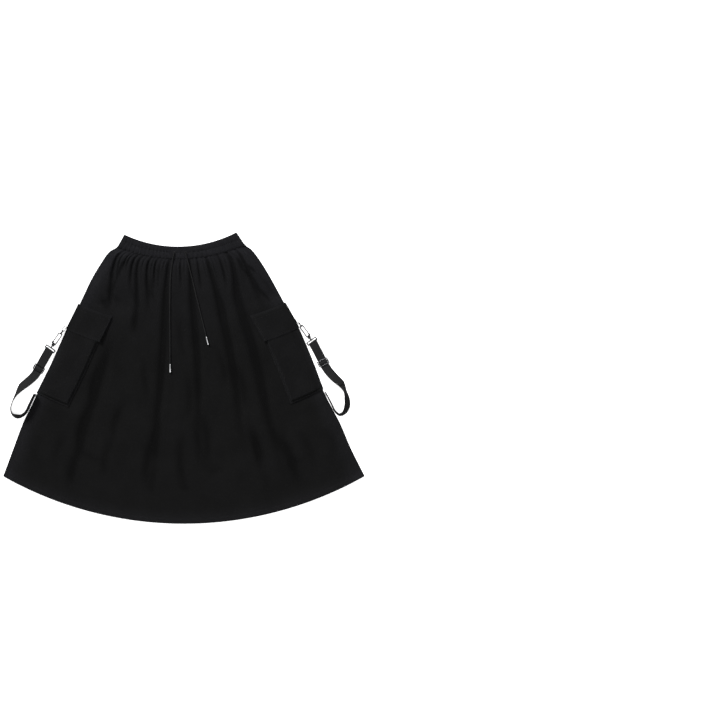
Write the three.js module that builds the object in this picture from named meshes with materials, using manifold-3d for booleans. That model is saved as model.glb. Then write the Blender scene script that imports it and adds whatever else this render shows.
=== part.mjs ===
// A cargo utility skirt laid flat on its back, front up. Two panels are gathered into an elastic
// waistband, a bellows pocket with a flap is folded round each side seam, and a webbing strap runs
// from a snap hook on each flap's corner to the foot of its pocket. A drawstring leaves the band.
// Millimetres, +Z up. The skirt rests on Z = 0 with its waist towards +Y. Side -1 is the wearer's
// right, at -X, and side 1 the wearer's left.
import * as THREE from "three";
import { mergeVertices } from "three/addons/utils/BufferGeometryUtils.js";
import Module from "manifold-3d";

const { lerp, clamp, smoothstep, degToRad } = THREE.MathUtils;
const wasm = await Module();
wasm.setup();

// Cloth and layers
const CLOTH = 1.2; // wall of the skirt's panels
const POCKET_CLOTH = 1.4; // wall of the pockets and flaps
const GAP = 0.3; // between pieces that touch
const LAYER = POCKET_CLOTH + GAP; // what one pocket layer adds to the stack

// The lines across the laid skirt are arcs: y is where they cross the middle, sag how far the ends
// rise above that, tilt how much higher the wearer's left end is than the right one.
const WAIST = { y: 339, sag: 37, tilt: 2.8 };
const HEM = { y: -415, sag: 135.5, tilt: 0 };
const BAND_TOP = { y: 374.6, sag: 37.4, tilt: 3, left: 169.6, right: 149.6 };

// How far each side seam lies from X = 0, by the way down from the waist seam (0) to the hem (1)
const OUTLINE = [
  { down: 0, left: 189.5, right: 174 },
  { down: 0.02, left: 212, right: 193 },
  { down: 0.07, left: 236, right: 218 },
  { down: 0.145, left: 265, right: 248 },
  { down: 0.25, left: 297, right: 285.5 },
  { down: 0.36, left: 332, right: 325 },
  { down: 0.51, left: 376, right: 367 },
  { down: 0.63, left: 415, right: 397 },
  { down: 0.7, left: 437, right: 420 },
  { down: 0.77, left: 459, right: 444.5 },
  { down: 0.88, left: 486, right: 475.5 },
  { down: 1, left: 515, right: 515 },
];

// How high the front cloth stands off the back one between its folds
const LOFT = [
  { down: 0, height: 3.4 },
  { down: 0.03, height: 6.8 },
  { down: 0.08, height: 7.6 },
  { down: 0.2, height: 6.2 },
  { down: 0.35, height: 4.8 },
  { down: 0.5, height: 4.1 },
  { down: 0.7, height: 3.7 },
  { down: 1, height: 3.2 },
];
const LEAST_LOFT = 0.5; // at the bottom of the deepest fold

// Where a gather on the waist seam (-1 to 1 across) ends up once the cloth has opened out
const SPREAD = [
  { waist: -1, open: -1 },
  { waist: -0.87, open: -0.74 },
  { waist: -0.642, open: -0.53 },
  { waist: -0.571, open: -0.45 },
  { waist: -0.44, open: -0.335 },
  { waist: -0.341, open: -0.27 },
  { waist: -0.164, open: -0.165 },
  { waist: 0, open: 0.01 },
  { waist: 0.127, open: 0.122 },
  { waist: 0.238, open: 0.23 },
  { waist: 0.377, open: 0.4 },
  { waist: 0.547, open: 0.5 },
  { waist: 0.686, open: 0.59 },
  { waist: 0.825, open: 0.8 },
  { waist: 1, open: 1 },
];
const OPENED_BY = 0.2; // the way down at which the gathers have opened out

// The folds that run down from the waist seam: where each starts and stops, its depth and half-width
const FOLDS = [
  { waist: -0.87, start: 0, reach: 0.26, deep: 6, wide: 10 },
  { waist: -0.755, start: 0.3, reach: 0.98, deep: 3.4, wide: 16 },
  { waist: -0.642, start: 0, reach: 0.16, deep: 5, wide: 8 },
  { waist: -0.571, start: 0, reach: 0.34, deep: 4.4, wide: 9 },
  { waist: -0.44, start: 0, reach: 0.24, deep: 5.6, wide: 9 },
  { waist: -0.341, start: 0, reach: 0.14, deep: 4.6, wide: 7 },
  { waist: -0.164, start: 0, reach: 0.96, deep: 5.4, wide: 12 },
  { waist: 0, start: 0, reach: 0.13, deep: 4.2, wide: 7 },
  { waist: 0.127, start: 0, reach: 0.84, deep: 5.4, wide: 12 },
  { waist: 0.238, start: 0, reach: 0.15, deep: 4.6, wide: 7 },
  { waist: 0.377, start: 0, reach: 0.86, deep: 6, wide: 13 },
  { waist: 0.547, start: 0, reach: 0.16, deep: 4.6, wide: 8 },
  { waist: 0.686, start: 0, reach: 1.05, deep: 6, wide: 15 },
  { waist: 0.825, start: 0, reach: 0.27, deep: 5, wide: 10 },
];
const SMALL_GATHER = { reach: 0.12, deep: 3, wide: 5.5 }; // the fine ones between the folds
const GATHER_PITCH = 0.062; // across, between neighbouring gathers on the seam
const COLUMN_STEP = 0.034; // across, between columns of the front panel
const PANEL_ROWS = [
  0, 0.01, 0.028, 0.06, 0.11, 0.195, 0.24, 0.365, 0.41, 0.48, 0.54, 0.6, 0.645, 0.69, 0.8, 0.92, 1,
];
const BACK_COLUMNS = 24;

// Waistband: an elastic casing, two layers with a hollow between them
const BAND = { wall: 2.6, hollow: 2, puff: 1, pucker: 0.5, columns: 52, backColumns: 12 };
const EYELETS = [
  { name: "right", x: -27.6, y: 357.2 },
  { name: "left", x: 5.4, y: 356.6 },
];
const EYELET = { outer: 4.5, inner: 2.4, height: 0.8 };

// Pockets, by side: how wide the front part is, and the ways down to its edges
const POCKETS = [
  { side: -1, name: "right", front: 97, foot: 0.638, tabDown: 0.369 },
  { side: 1, name: "left", front: 101, foot: 0.625, tabDown: 0.342 },
];
const POCKET_WIDTH = 196; // flat, from one sewn edge to the other
const BAG_TOP = 0.265;
const FLAP_TOP = 0.25;
const FLAP_FOOT = 0.36;
const FLAP_OVERHANG = 3; // past the bag's edge, each side
const FOLD_BULGE = 0.9; // how far a layer's fold bulges past the layer inside it
const SEWN_EDGE = 5; // width of the flat strip outside the bellows
const BELLOWS = { rise: 5, foot: 3, sag: 2.2, crown: 42 };
const LIFTED = { top: 0.24, flapFoot: 0.365, bagFoot: 0.645, ramp: 0.045 }; // ways down
const EASE = 0.35; // what a pocket layer stands off its panel, away from the fold

// Straps: webbing through a slider, a snap hook with a swivel eye, and the ring it is hooked to
const WEBBING = { width: 25, thick: 1.4 };
const RING = { radius: 7, wire: 2.8, steps: 18, height: 9.2 };
const TAB = { width: 8, thick: 1.2, reach: 14, turn: 3.4 };
const HOOK = {
  bow: 5, // radius of the bow's middle line
  wire: 3.2,
  nose: 4,
  pivot: 28,
  collar: { start: 31, end: 39, radius: 4.5, hole: 2.4 },
  slope: -0.1, // the hook runs down from the ring to the webbing
};
const GATE = { width: 2.4, thick: 2.6, knuckle: 2.3, pin: 0.8 };
const CHEEK = { lap: 1.4, width: 4.4, thick: 1.1 }; // the plates each side of the gate's pin
const EYE = { start: 44, length: 11, width: 33, wire: 3, post: 2, head: 2.9 };
const SLIDER = { length: 18, width: 32.4, side: 2.6, low: 2, rod: 1.2, rodHeight: 5.3 };
const HEADING = { x: 0.58, y: -0.815 }; // of the hook, for the wearer's left side

// The loose run of each strap, from the slider to where it is sewn at the pocket's foot. lean is how
// far its inner edge is raised, in degrees: 0 lies flat and 90 stands on edge.
const STRAP_RUNS = {
  right: [
    { x: -413.5, y: 27, lean: 0 },
    { x: -424, y: 9, lean: 4 },
    { x: -442, y: -9, lean: 16 },
    { x: -463, y: -27, lean: 34 },
    { x: -476, y: -46, lean: 66 },
    { x: -487, y: -67, lean: 78 },
    { x: -492, y: -88, lean: 76 },
    { x: -487, y: -103, lean: 70 },
    { x: -475, y: -109, lean: 60 },
    { x: -459.5, y: -106.5, lean: 72 },
    { x: -447, y: -95, lean: 78 },
    { x: -438, y: -76, lean: 80 },
    { x: -428.4, y: -56, lean: 81 },
    { x: -423, y: -45, lean: 82 },
  ],
  left: [
    { x: 396.8, y: 44.5, lean: 0 },
    { x: 411, y: 21, lean: 5 },
    { x: 429, y: 1, lean: 22 },
    { x: 449, y: -18, lean: 44 },
    { x: 459.5, y: -38, lean: 70 },
    { x: 465, y: -60, lean: 54 },
    { x: 465, y: -80, lean: 50 },
    { x: 457, y: -98, lean: 62 },
    { x: 443, y: -104, lean: 72 },
    { x: 430.5, y: -94, lean: 78 },
    { x: 421, y: -75, lean: 80 },
    { x: 411, y: -55, lean: 81 },
    { x: 403.2, y: -40, lean: 82 },
  ],
};
const TAIL_ROWS = 3; // the cut end lies over this many rows of the run
const STACKED = WEBBING.thick + 0.4; // from one layer of webbing to the next

// Drawstrings: round cord with a metal tip, from an eyelet down the front
const CORD = { radius: 1.75, sides: 8, steps: 28 };
const TIP = { radius: 2.7, length: 25 };
const DRAWSTRINGS = [
  {
    name: "right",
    route: [
      [-27.6, 357.2, 10.2],
      [-29, 350, 10.7],
      [-31.6, 336, 9.6],
      [-34.4, 318, 9.8],
      [-36.6, 300, 10.6],
      [-38, 276, 11.6],
      [-38.8, 245, 12.1],
      [-39.3, 210, 11.1],
      [-39.4, 170, 10.3],
      [-39.2, 130, 9.8],
      [-38.9, 90, 9.6],
      [-38.8, 60, 9.9],
      [-38.8, 40, 10],
    ],
  },
  {
    name: "left",
    route: [
      [5.4, 356.6, 10.2],
      [7, 350, 10.7],
      [10.6, 336, 9.6],
      [15, 318, 9.4],
      [19.6, 300, 9.5],
      [26, 274, 10.6],
      [33, 245, 11.4],
      [41, 212, 11.3],
      [49, 180, 11.2],
      [56, 151, 11],
      [64, 118, 11.1],
    ],
  },
];

// Colours
const MATERIALS = {
  cloth: new THREE.MeshStandardMaterial({ color: 0x17171b, roughness: 0.92, metalness: 0 }),
  webbing: new THREE.MeshStandardMaterial({ color: 0x2f2f33, roughness: 0.8, metalness: 0 }),
  cord: new THREE.MeshStandardMaterial({ color: 0x1c1c20, roughness: 0.85, metalness: 0 }),
  metal: new THREE.MeshStandardMaterial({ color: 0x66686c, roughness: 0.26, metalness: 1 }),
};

const group = new THREE.Group();

function add(parent, name, geometry, material) {
  const mesh = new THREE.Mesh(geometry, material);
  mesh.name = name;
  parent.add(mesh);
  return mesh;
}

// A smooth reading of a table's column at a place between its rows
function read(rows, key, at, column) {
  const last = rows.length - 1;
  let i = 0;
  while (i < last - 1 && rows[i + 1][key] < at) i += 1;
  const slope = (k) => {
    const before = rows[Math.max(k - 1, 0)];
    const after = rows[Math.min(k + 1, last)];
    return (after[column] - before[column]) / (after[key] - before[key]);
  };
  const span = rows[i + 1][key] - rows[i][key];
  const t = clamp((at - rows[i][key]) / span, 0, 1);
  const [t2, t3] = [t * t, t * t * t];
  const level = (2 * t3 - 3 * t2 + 1) * rows[i][column] + (3 * t2 - 2 * t3) * rows[i + 1][column];
  return level + span * ((t3 - 2 * t2 + t) * slope(i) + (t3 - t2) * slope(i + 1));
}

// A point of an arc across the skirt, with the arc's half length and the way along it
function arcPoint(across, { y, sag, tilt, left, right }) {
  const half = (left + right) / 2;
  const radius = (half * half + sag * sag) / (2 * sag);
  const sweep = Math.asin(half / radius);
  const angle = across * sweep;
  return {
    x: (right - left) / 2 + radius * Math.sin(angle),
    y: y + radius * (1 - Math.cos(angle)) + tilt * across,
    halfLength: radius * sweep,
    along: new THREE.Vector2(Math.cos(angle), Math.sin(angle)),
  };
}

// A point of the laid panels: across runs from -1 to 1 between the side seams
function layPoint(across, down) {
  return arcPoint(across, {
    y: lerp(WAIST.y - GAP, HEM.y, down),
    sag: lerp(WAIST.sag, HEM.sag, down),
    tilt: lerp(WAIST.tilt, HEM.tilt, down),
    left: read(OUTLINE, "down", down, "left"),
    right: read(OUTLINE, "down", down, "right"),
  });
}

function fromSide(across, down) {
  return (1 - Math.abs(across)) * layPoint(0, down).halfLength;
}

function acrossAt(side, distance, down) {
  return side * (1 - distance / layPoint(0, down).halfLength);
}

// One in the middle of a stretch and zero outside it, with soft ends
function within(value, start, end, soft) {
  return smoothstep(value, start - soft, start) * (1 - smoothstep(value, end, end + soft));
}

// The pocket's back half lies under the back panel and lifts it off the floor. spare widens the
// lifted patch, for what lies over it.
function backUnder(across, down, spare = 0) {
  const pocket = POCKETS[across < 0 ? 0 : 1];
  const reach = POCKET_WIDTH - pocket.front + FLAP_OVERHANG + 14 + spare;
  const over = 1 - smoothstep(fromSide(across, down), reach, reach + 50);
  const flap = within(down, LIFTED.top, LIFTED.flapFoot, LIFTED.ramp);
  const bag = within(down, LIFTED.top, LIFTED.bagFoot, LIFTED.ramp);
  return over * LAYER * (flap + bag);
}

const backTop = (across, down, spare) => backUnder(across, down, spare) + CLOTH;

function spread(waist, down) {
  const open = read(SPREAD, "waist", waist, "open");
  return lerp(waist, open, smoothstep(down, 0, OPENED_BY));
}

// The fine gathers fill the seam between the folds, unevenly
function allFolds() {
  const starts = [-1, ...FOLDS.filter((fold) => fold.start === 0).map((fold) => fold.waist), 1];
  const small = [];
  for (let i = 1; i < starts.length; i += 1) {
    const count = Math.round((starts[i] - starts[i - 1]) / GATHER_PITCH);
    for (let k = 1; k < count; k += 1) {
      const shift = 0.14 * Math.sin(5 * i + 2.3 * k);
      const waist = lerp(starts[i - 1], starts[i], (k + shift) / count);
      small.push({ waist, start: 0, ...SMALL_GATHER, reach: SMALL_GATHER.reach * (1 + shift * 3) });
    }
  }
  return [...FOLDS, ...small].sort((a, b) => a.waist - b.waist);
}

const GATHERS = allFolds();

function foldDepth(fold, across, down) {
  const begins = fold.start ? smoothstep(down, fold.start, fold.start + 0.12) : 1;
  const seam = fold.start ? 1 : lerp(0.35, 1, smoothstep(down, 0, 0.03));
  const fades = 1 - smoothstep(down, fold.reach * 0.35, fold.reach);
  const wide = fold.wide * lerp(0.4, 1, smoothstep(down, 0, 0.25));
  const away = ((across - spread(fold.waist, down)) * layPoint(0, down).halfLength) / wide;
  return fold.deep * begins * seam * fades * Math.exp(-away * away);
}

// The pockets press the front cloth down
function unfoldedLoft(across, down) {
  const pocket = POCKETS[across < 0 ? 0 : 1];
  const side = fromSide(across, down);
  const pressed = 1 - smoothstep(side, pocket.front, pocket.front + 60);
  const weight = 0.5 * pressed * within(down, FLAP_TOP, pocket.foot, 0.12);
  return read(LOFT, "down", down, "height") * smoothstep(side, 0, 30) * (1 - weight);
}

// The gap between the front panel and the back one
function loft(across, down) {
  const edge = smoothstep(fromSide(across, down), 0, 30);
  const height = unfoldedLoft(across, down);
  const folded = GATHERS.reduce((sum, fold) => sum + foldDepth(fold, across, down), 0);
  return Math.max(height - folded * edge, LEAST_LOFT * edge);
}

const frontUnder = (across, down) => backTop(across, down, 12) + GAP + loft(across, down);
const frontTop = (across, down) => frontUnder(across, down) + CLOTH;

// What the pockets' front halves lie on: the front panel without its folds
function pocketBase(across, down) {
  const ease = GAP + EASE * smoothstep(fromSide(across, down), 0, 10);
  return backTop(across, down, 12) + GAP + unfoldedLoft(across, down) + CLOTH + ease;
}

// Closed solids

// Faces are turned outwards if the volume they enclose comes out negative
function closedGeometry(points, faces) {
  const position = new Float32Array(points.flatMap((p) => [p.x, p.y, p.z]));
  const volume = faces.reduce((sum, [a, b, c]) => {
    const [p, q, r] = [points[a], points[b], points[c]];
    return sum + new THREE.Vector3().crossVectors(q, r).dot(p);
  }, 0);
  const turned = volume < 0 ? faces.map(([a, b, c]) => [a, c, b]) : faces;
  const geometry = new THREE.BufferGeometry();
  geometry.setAttribute("position", new THREE.BufferAttribute(position, 3));
  geometry.setIndex(turned.flat());
  geometry.computeVertexNormals();
  return geometry;
}

const quad = (a, b, c, d) => [
  [a, b, c],
  [a, c, d],
];

// A wall between two grids of points with the same rows. A round one joins its last column to its
// first and is open at its first and last rows.
function wallGeometry(outer, inner, round = false) {
  const rows = outer.length;
  const columns = outer[0].length;
  const points = [...outer.flat(), ...inner.flat()];
  const out = (r, c) => r * columns + (c % columns);
  const back = (r, c) => rows * columns + out(r, c);
  const strips = round ? columns : columns - 1;
  const faces = [];
  for (let r = 0; r < rows - 1; r += 1) {
    for (let c = 0; c < strips; c += 1) {
      faces.push(...quad(out(r, c), out(r, c + 1), out(r + 1, c + 1), out(r + 1, c)));
      faces.push(...quad(back(r, c), back(r + 1, c), back(r + 1, c + 1), back(r, c + 1)));
    }
    if (!round) {
      faces.push(...quad(out(r, 0), out(r + 1, 0), back(r + 1, 0), back(r, 0)));
      const end = columns - 1;
      faces.push(...quad(out(r, end), back(r, end), back(r + 1, end), out(r + 1, end)));
    }
  }
  for (let c = 0; c < strips; c += 1) {
    faces.push(...quad(out(0, c), back(0, c), back(0, c + 1), out(0, c + 1)));
    const end = rows - 1;
    faces.push(...quad(out(end, c), out(end, c + 1), back(end, c + 1), back(end, c)));
  }
  return closedGeometry(points, faces);
}

// A flat strip swept through frames, each a middle point, a width direction and a face direction
function stripGeometry(frames, width, thick) {
  const corner = ({ point, wide, face }, w, t) =>
    point.clone().addScaledVector(wide, (w * width) / 2).addScaledVector(face, (t * thick) / 2);
  const points = frames.flatMap((frame) => [
    corner(frame, -1, -1),
    corner(frame, 1, -1),
    corner(frame, 1, 1),
    corner(frame, -1, 1),
  ]);
  const faces = [...quad(0, 1, 2, 3)];
  for (let i = 0; i < frames.length - 1; i += 1) {
    for (let k = 0; k < 4; k += 1) {
      const next = (k + 1) % 4;
      faces.push(...quad(4 * i + k, 4 * i + 4 + k, 4 * i + 4 + next, 4 * i + next));
    }
  }
  const end = 4 * (frames.length - 1);
  faces.push(...quad(end + 3, end + 2, end + 1, end));
  return closedGeometry(points, faces);
}

function solidOf(geometry) {
  const plain = geometry.clone();
  plain.deleteAttribute("normal");
  if (plain.hasAttribute("uv")) plain.deleteAttribute("uv");
  const merged = mergeVertices(plain, 1e-4);
  const mesh = new wasm.Mesh({
    numProp: 3,
    vertProperties: merged.attributes.position.array,
    triVerts: new Uint32Array(merged.index.array),
  });
  return new wasm.Manifold(mesh);
}

function geometryOf(solid) {
  const mesh = solid.getMesh();
  const geometry = new THREE.BufferGeometry();
  geometry.setAttribute("position", new THREE.BufferAttribute(mesh.vertProperties, 3));
  geometry.setIndex(new THREE.BufferAttribute(mesh.triVerts, 1));
  geometry.computeVertexNormals();
  return geometry;
}

function joined(...geometries) {
  return geometryOf(geometries.map(solidOf).reduce((sum, solid) => sum.add(solid)));
}

// A round bar swept along a curve
function barGeometry(curve, radius, steps, sides) {
  const section = new THREE.Shape();
  for (let i = 0; i < sides; i += 1) {
    const angle = (2 * Math.PI * (i + 0.5)) / sides;
    const [x, y] = [radius * Math.cos(angle), radius * Math.sin(angle)];
    if (i) section.lineTo(x, y);
    else section.moveTo(x, y);
  }
  return new THREE.ExtrudeGeometry(section, { steps, extrudePath: curve, bevelEnabled: false });
}

const boxAt = (x, y, z, [w, d, h]) => new THREE.BoxGeometry(w, d, h).translate(x, y, z);
const vector = (x, y, z) => new THREE.Vector3(x, y, z);

// The two panels

function panelGrid(columns, rows, follow, height) {
  return rows.map((down) =>
    columns.map((column) => {
      const across = follow(column, down);
      const { x, y } = layPoint(across, down);
      return vector(x, y, height(across, down));
    }),
  );
}

// Each fold has a column at its bottom, and at least one on the crest beside it
function frontColumns() {
  const marks = [-1, ...GATHERS.map((fold) => fold.waist), 1];
  const columns = [];
  for (let i = 1; i < marks.length; i += 1) {
    const steps = Math.max(2, Math.round((marks[i] - marks[i - 1]) / COLUMN_STEP));
    for (let k = 0; k < steps; k += 1) columns.push(lerp(marks[i - 1], marks[i], k / steps));
  }
  return [...columns, 1];
}

function makePanels() {
  const columns = frontColumns();
  const top = panelGrid(columns, PANEL_ROWS, spread, frontTop);
  const under = panelGrid(columns, PANEL_ROWS, spread, frontUnder);
  add(group, "front_panel", wallGeometry(top, under), MATERIALS.cloth);

  const straight = (column) => column;
  const even = Array.from({ length: BACK_COLUMNS + 1 }, (_, i) => -1 + (2 * i) / BACK_COLUMNS);
  const backUp = panelGrid(even, PANEL_ROWS, straight, backTop);
  const backDown = panelGrid(even, PANEL_ROWS, straight, backUnder);
  add(group, "back_panel", wallGeometry(backUp, backDown), MATERIALS.cloth);
}

// Waistband

const BAND_BACK = BAND.wall; // top of the back layer
const BAND_FRONT = 2 * BAND.wall + BAND.hollow; // top of the front layer, before its puckers

function bandPoint(across, up) {
  const seam = { ...WAIST, left: OUTLINE[0].left, right: OUTLINE[0].right };
  const line = {};
  for (const key of Object.keys(BAND_TOP)) line[key] = lerp(seam[key], BAND_TOP[key], up);
  return arcPoint(across, line);
}

// Shirring: the casing puffs between its edge and middle seams, and is flat round an eyelet
function bandPuff(column, x, up) {
  const calm = EYELETS.reduce((least, { x: at }) => {
    return Math.min(least, smoothstep(Math.abs(x - at), 7, 14));
  }, 1);
  const between = Math.abs(Math.sin(2 * Math.PI * up));
  return calm * (BAND.puff * between + BAND.pucker * (column % 2 ? 1 : -1));
}

function makeWaistband() {
  const middle = BAND_FRONT / 2;
  const turn = 0.012; // across, what the rounded end takes
  const outer = [];
  const inner = [];
  for (const up of [0, 0.25, 0.5, 0.75, 1]) {
    const outside = [];
    const inside = [];
    const place = (across, outZ, inZ, inAcross = across) => {
      const out = bandPoint(across, up);
      const lining = bandPoint(inAcross, up);
      outside.push(vector(out.x, out.y, outZ));
      inside.push(vector(lining.x, lining.y, inZ));
    };
    for (let i = 0; i <= BAND.columns; i += 1) {
      const across = (-1 + (2 * i) / BAND.columns) * (1 - turn);
      const ends = i === 0 || i === BAND.columns;
      const raise = ends ? 0 : bandPuff(i, bandPoint(across, up).x, up);
      place(across, BAND_FRONT + raise, BAND_FRONT - BAND.wall, across * 0.985);
    }
    place(1, middle, middle, 0.975);
    for (let i = 0; i <= BAND.backColumns; i += 1) {
      const across = (1 - (2 * i) / BAND.backColumns) * (1 - turn);
      place(across, 0, BAND_BACK, across * 0.985);
    }
    place(-1, middle, middle, -0.975);
    outer.push(outside);
    inner.push(inside);
  }
  add(group, "waistband", wallGeometry(outer, inner, true), MATERIALS.cloth);
}

function makeEyelets() {
  const { outer, inner, height } = EYELET;
  const profile = [
    [inner, 0],
    [outer, 0],
    [outer, height * 0.5],
    [(inner + outer) / 2, height],
    [inner, height * 0.5],
    [inner, 0],
  ].map(([r, h]) => new THREE.Vector2(r, h));
  for (const { name, x, y } of EYELETS) {
    const ring = new THREE.LatheGeometry(profile, 14).rotateX(Math.PI / 2);
    const mesh = add(group, `eyelet_${name}`, ring, MATERIALS.cord);
    mesh.position.set(x, y, BAND_FRONT + GAP);
  }
}

// Pockets

// How far the bellows lift the bag off the panel, by the distance from its nearest sewn edge
function bellows(inset, fromFold, fromMouth) {
  const wall = smoothstep(inset, SEWN_EDGE, SEWN_EDGE + BELLOWS.foot);
  const sag = lerp(1, BELLOWS.sag / BELLOWS.rise, smoothstep(inset, SEWN_EDGE + 6, BELLOWS.crown));
  const side = smoothstep(fromFold, 0, 26);
  return BELLOWS.rise * wall * sag * side * lerp(0.25, 1, smoothstep(fromMouth, 0, 60));
}

// The stations of a layer that starts on the front, turns round the side seam and ends on the back.
// level 0 lies on the panels, level 1 on level 0. Each gives an outer and an inner point.
function wrapStations(pocket, down, level, distances, backSteps, overhang, lift) {
  const { side, front } = pocket;
  const depth = level * LAYER;
  const stations = [];
  for (const distance of distances) {
    const across = acrossAt(side, distance, down);
    const { x, y } = layPoint(across, down);
    const under = pocketBase(across, down) + depth + lift(front - distance, distance);
    stations.push({ outer: vector(x, y, under + POCKET_CLOTH), inner: vector(x, y, under) });
  }
  const edge = layPoint(side, down);
  const outwards = edge.along.clone().multiplyScalar(side);
  const shifted = (amount, z) => vector(edge.x + outwards.x * amount, edge.y + outwards.y * amount, z);
  const high = pocketBase(side, down) + depth;
  const low = backUnder(side, down) - GAP - depth;
  const middle = (high + low) / 2;
  const bulge = GAP + depth + FOLD_BULGE;
  stations.push({ outer: shifted(bulge + FOLD_BULGE, high + 0.5), inner: shifted(GAP + depth, high - 0.3) });
  stations.push({ outer: shifted(bulge + POCKET_CLOTH, middle), inner: shifted(bulge, middle) });
  const floor = low - POCKET_CLOTH;
  stations.push({ outer: shifted(bulge + FOLD_BULGE, low - 0.5), inner: shifted(GAP + depth, low + 0.3) });
  const back = POCKET_WIDTH - front + overhang;
  for (const step of backSteps) {
    const { x, y } = layPoint(acrossAt(side, step * back, down), down);
    stations.push({ outer: vector(x, y, floor), inner: vector(x, y, floor + POCKET_CLOTH) });
  }
  return stations;
}

function layerGeometry(rows) {
  return wallGeometry(
    rows.map((stations) => stations.map((station) => station.outer)),
    rows.map((stations) => stations.map((station) => station.inner)),
  );
}

const RIM = SEWN_EDGE + BELLOWS.foot; // where the bellows are highest, from the sewn edge
const INSETS = [RIM, RIM + 5, 24, BELLOWS.crown, 62, 78, 90]; // of the columns both layers share
const UNDER_FLAP = [0.265, 0.285, 0.31, 0.335]; // rows both layers share

function makeBag(pocket) {
  const { front, foot, name } = pocket;
  const frontSteps = [0, SEWN_EDGE, ...INSETS].map((inset) => front - inset);
  const backSteps = [0, 0.12, 0.35, 0.7, 1];
  const sideLength = layPoint(1, BAG_TOP).y - layPoint(1, foot).y;
  const down = (inset) => foot - (inset / sideLength) * (foot - BAG_TOP);
  const insets = [BELLOWS.crown, 24, RIM + 5, RIM, SEWN_EDGE, 0];
  const rows = [...UNDER_FLAP, 0.365, 0.41, 0.48, ...insets.map(down)].map((at) => {
    const fromFoot = ((foot - at) / (foot - BAG_TOP)) * sideLength;
    const fromMouth = sideLength - fromFoot;
    const lift = (inset, distance) => bellows(Math.min(inset, fromFoot), distance, fromMouth);
    return wrapStations(pocket, at, 0, frontSteps, backSteps, 0, lift);
  });
  add(group, `pocket_bag_${name}`, layerGeometry(rows), MATERIALS.cloth);
}

function makeFlap(pocket) {
  const { front, foot, name } = pocket;
  const frontSteps = [front + FLAP_OVERHANG, ...INSETS.map((inset) => front - inset)];
  const backSteps = [0, 0.12, 0.5, 1];
  const sideLength = layPoint(1, BAG_TOP).y - layPoint(1, foot).y;
  const rows = [FLAP_TOP, 0.256, 0.262, ...UNDER_FLAP, FLAP_FOOT].map((at) => {
    const over = smoothstep(at, FLAP_TOP, 0.262);
    const fromMouth = Math.max(0, ((at - BAG_TOP) / (foot - BAG_TOP)) * sideLength);
    const lift = (inset, distance) => {
      const bag = bellows(Math.max(inset, RIM), distance, fromMouth);
      return over * bag - (1 - over) * LAYER * smoothstep(distance, 0, 12);
    };
    return wrapStations(pocket, at, 1, frontSteps, backSteps, FLAP_OVERHANG, lift);
  });
  add(group, `pocket_flap_${name}`, layerGeometry(rows), MATERIALS.cloth);
}

// Hardware of a strap. Its parts share a frame whose X runs from the ring to the webbing, with its
// origin in the bow of the snap hook, and whose Y points away from the skirt.

function makeRing(parent, name) {
  const circle = new THREE.EllipseCurve(0, 0, RING.radius, RING.radius);
  const path = circle.getPoints(RING.steps).slice(0, -1).map(({ x, y }) => vector(x, 0, y));
  const sides = 8;
  const outer = Array.from({ length: sides }, (_, k) => {
    const angle = (2 * Math.PI * k) / sides;
    return path.map((p) => {
      const out = p.clone().normalize().multiplyScalar(Math.cos(angle) * RING.wire / 2);
      return p.clone().add(out).add(vector(0, (Math.sin(angle) * RING.wire) / 2, 0));
    });
  });
  const points = outer.flat();
  const count = path.length;
  const at = (k, i) => (k % sides) * count + (i % count);
  const faces = [];
  for (let k = 0; k < sides; k += 1) {
    for (let i = 0; i < count; i += 1) {
      faces.push(...quad(at(k, i), at(k, i + 1), at(k + 1, i + 1), at(k + 1, i)));
    }
  }
  const mesh = add(parent, `ring_${name}`, closedGeometry(points, faces), MATERIALS.metal);
  mesh.position.x = RING.wire / 2 + HOOK.wire / 2 + GAP - HOOK.bow - RING.radius;
}

// Snap hook: a spine from the collar round the bow to the nose, a cheek on each side of the gate's
// knuckle, and the pin through them
function makeHook(parent, name) {
  const { bow, wire, nose, collar, pivot } = HOOK;
  const points = [];
  for (let i = 0; i <= 8; i += 1) {
    const angle = -Math.PI / 2 - (Math.PI * i) / 8;
    points.push(vector(bow * Math.cos(angle), bow * Math.sin(angle), 0));
  }
  const route = [vector(collar.start + 2, -bow, 0), ...points, vector(nose, bow, 0)];
  const frames = route.map((point, i) => {
    const ahead = route[Math.min(i + 1, route.length - 1)];
    const behind = route[Math.max(i - 1, 0)];
    const along = ahead.clone().sub(behind).normalize();
    return { point, side: vector(-along.y, along.x, 0) };
  });
  const bar = roundBar(frames, wire / 2);
  const length = collar.end - collar.start;
  const profile = [
    [collar.hole, 0],
    [collar.radius - 0.8, 0],
    [collar.radius, 0.8],
    [collar.radius, length - 0.8],
    [collar.radius - 0.8, length],
    [collar.hole, length],
    [collar.hole, 0],
  ].map(([r, h]) => new THREE.Vector2(r, h));
  const barrel = new THREE.LatheGeometry(profile, 14).rotateZ(-Math.PI / 2);
  barrel.translate(collar.start, 0, 0);
  const back = GATE.knuckle + 0.1;
  const cheek = [collar.start + CHEEK.lap - pivot + back, CHEEK.width, CHEEK.thick];
  const cheekAt = [pivot - back + cheek[0] / 2, bow, GATE.thick / 2 + GAP + cheek[2] / 2];
  const upper = boxAt(cheekAt[0], cheekAt[1], cheekAt[2], cheek);
  const lower = boxAt(cheekAt[0], cheekAt[1], -cheekAt[2], cheek);
  const pin = new THREE.CylinderGeometry(GATE.pin, GATE.pin, 2 * cheekAt[2], 10);
  pin.rotateX(Math.PI / 2).translate(pivot, bow, 0);
  add(parent, `hook_body_${name}`, joined(bar, barrel, upper, lower, pin), MATERIALS.metal);
}

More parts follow.
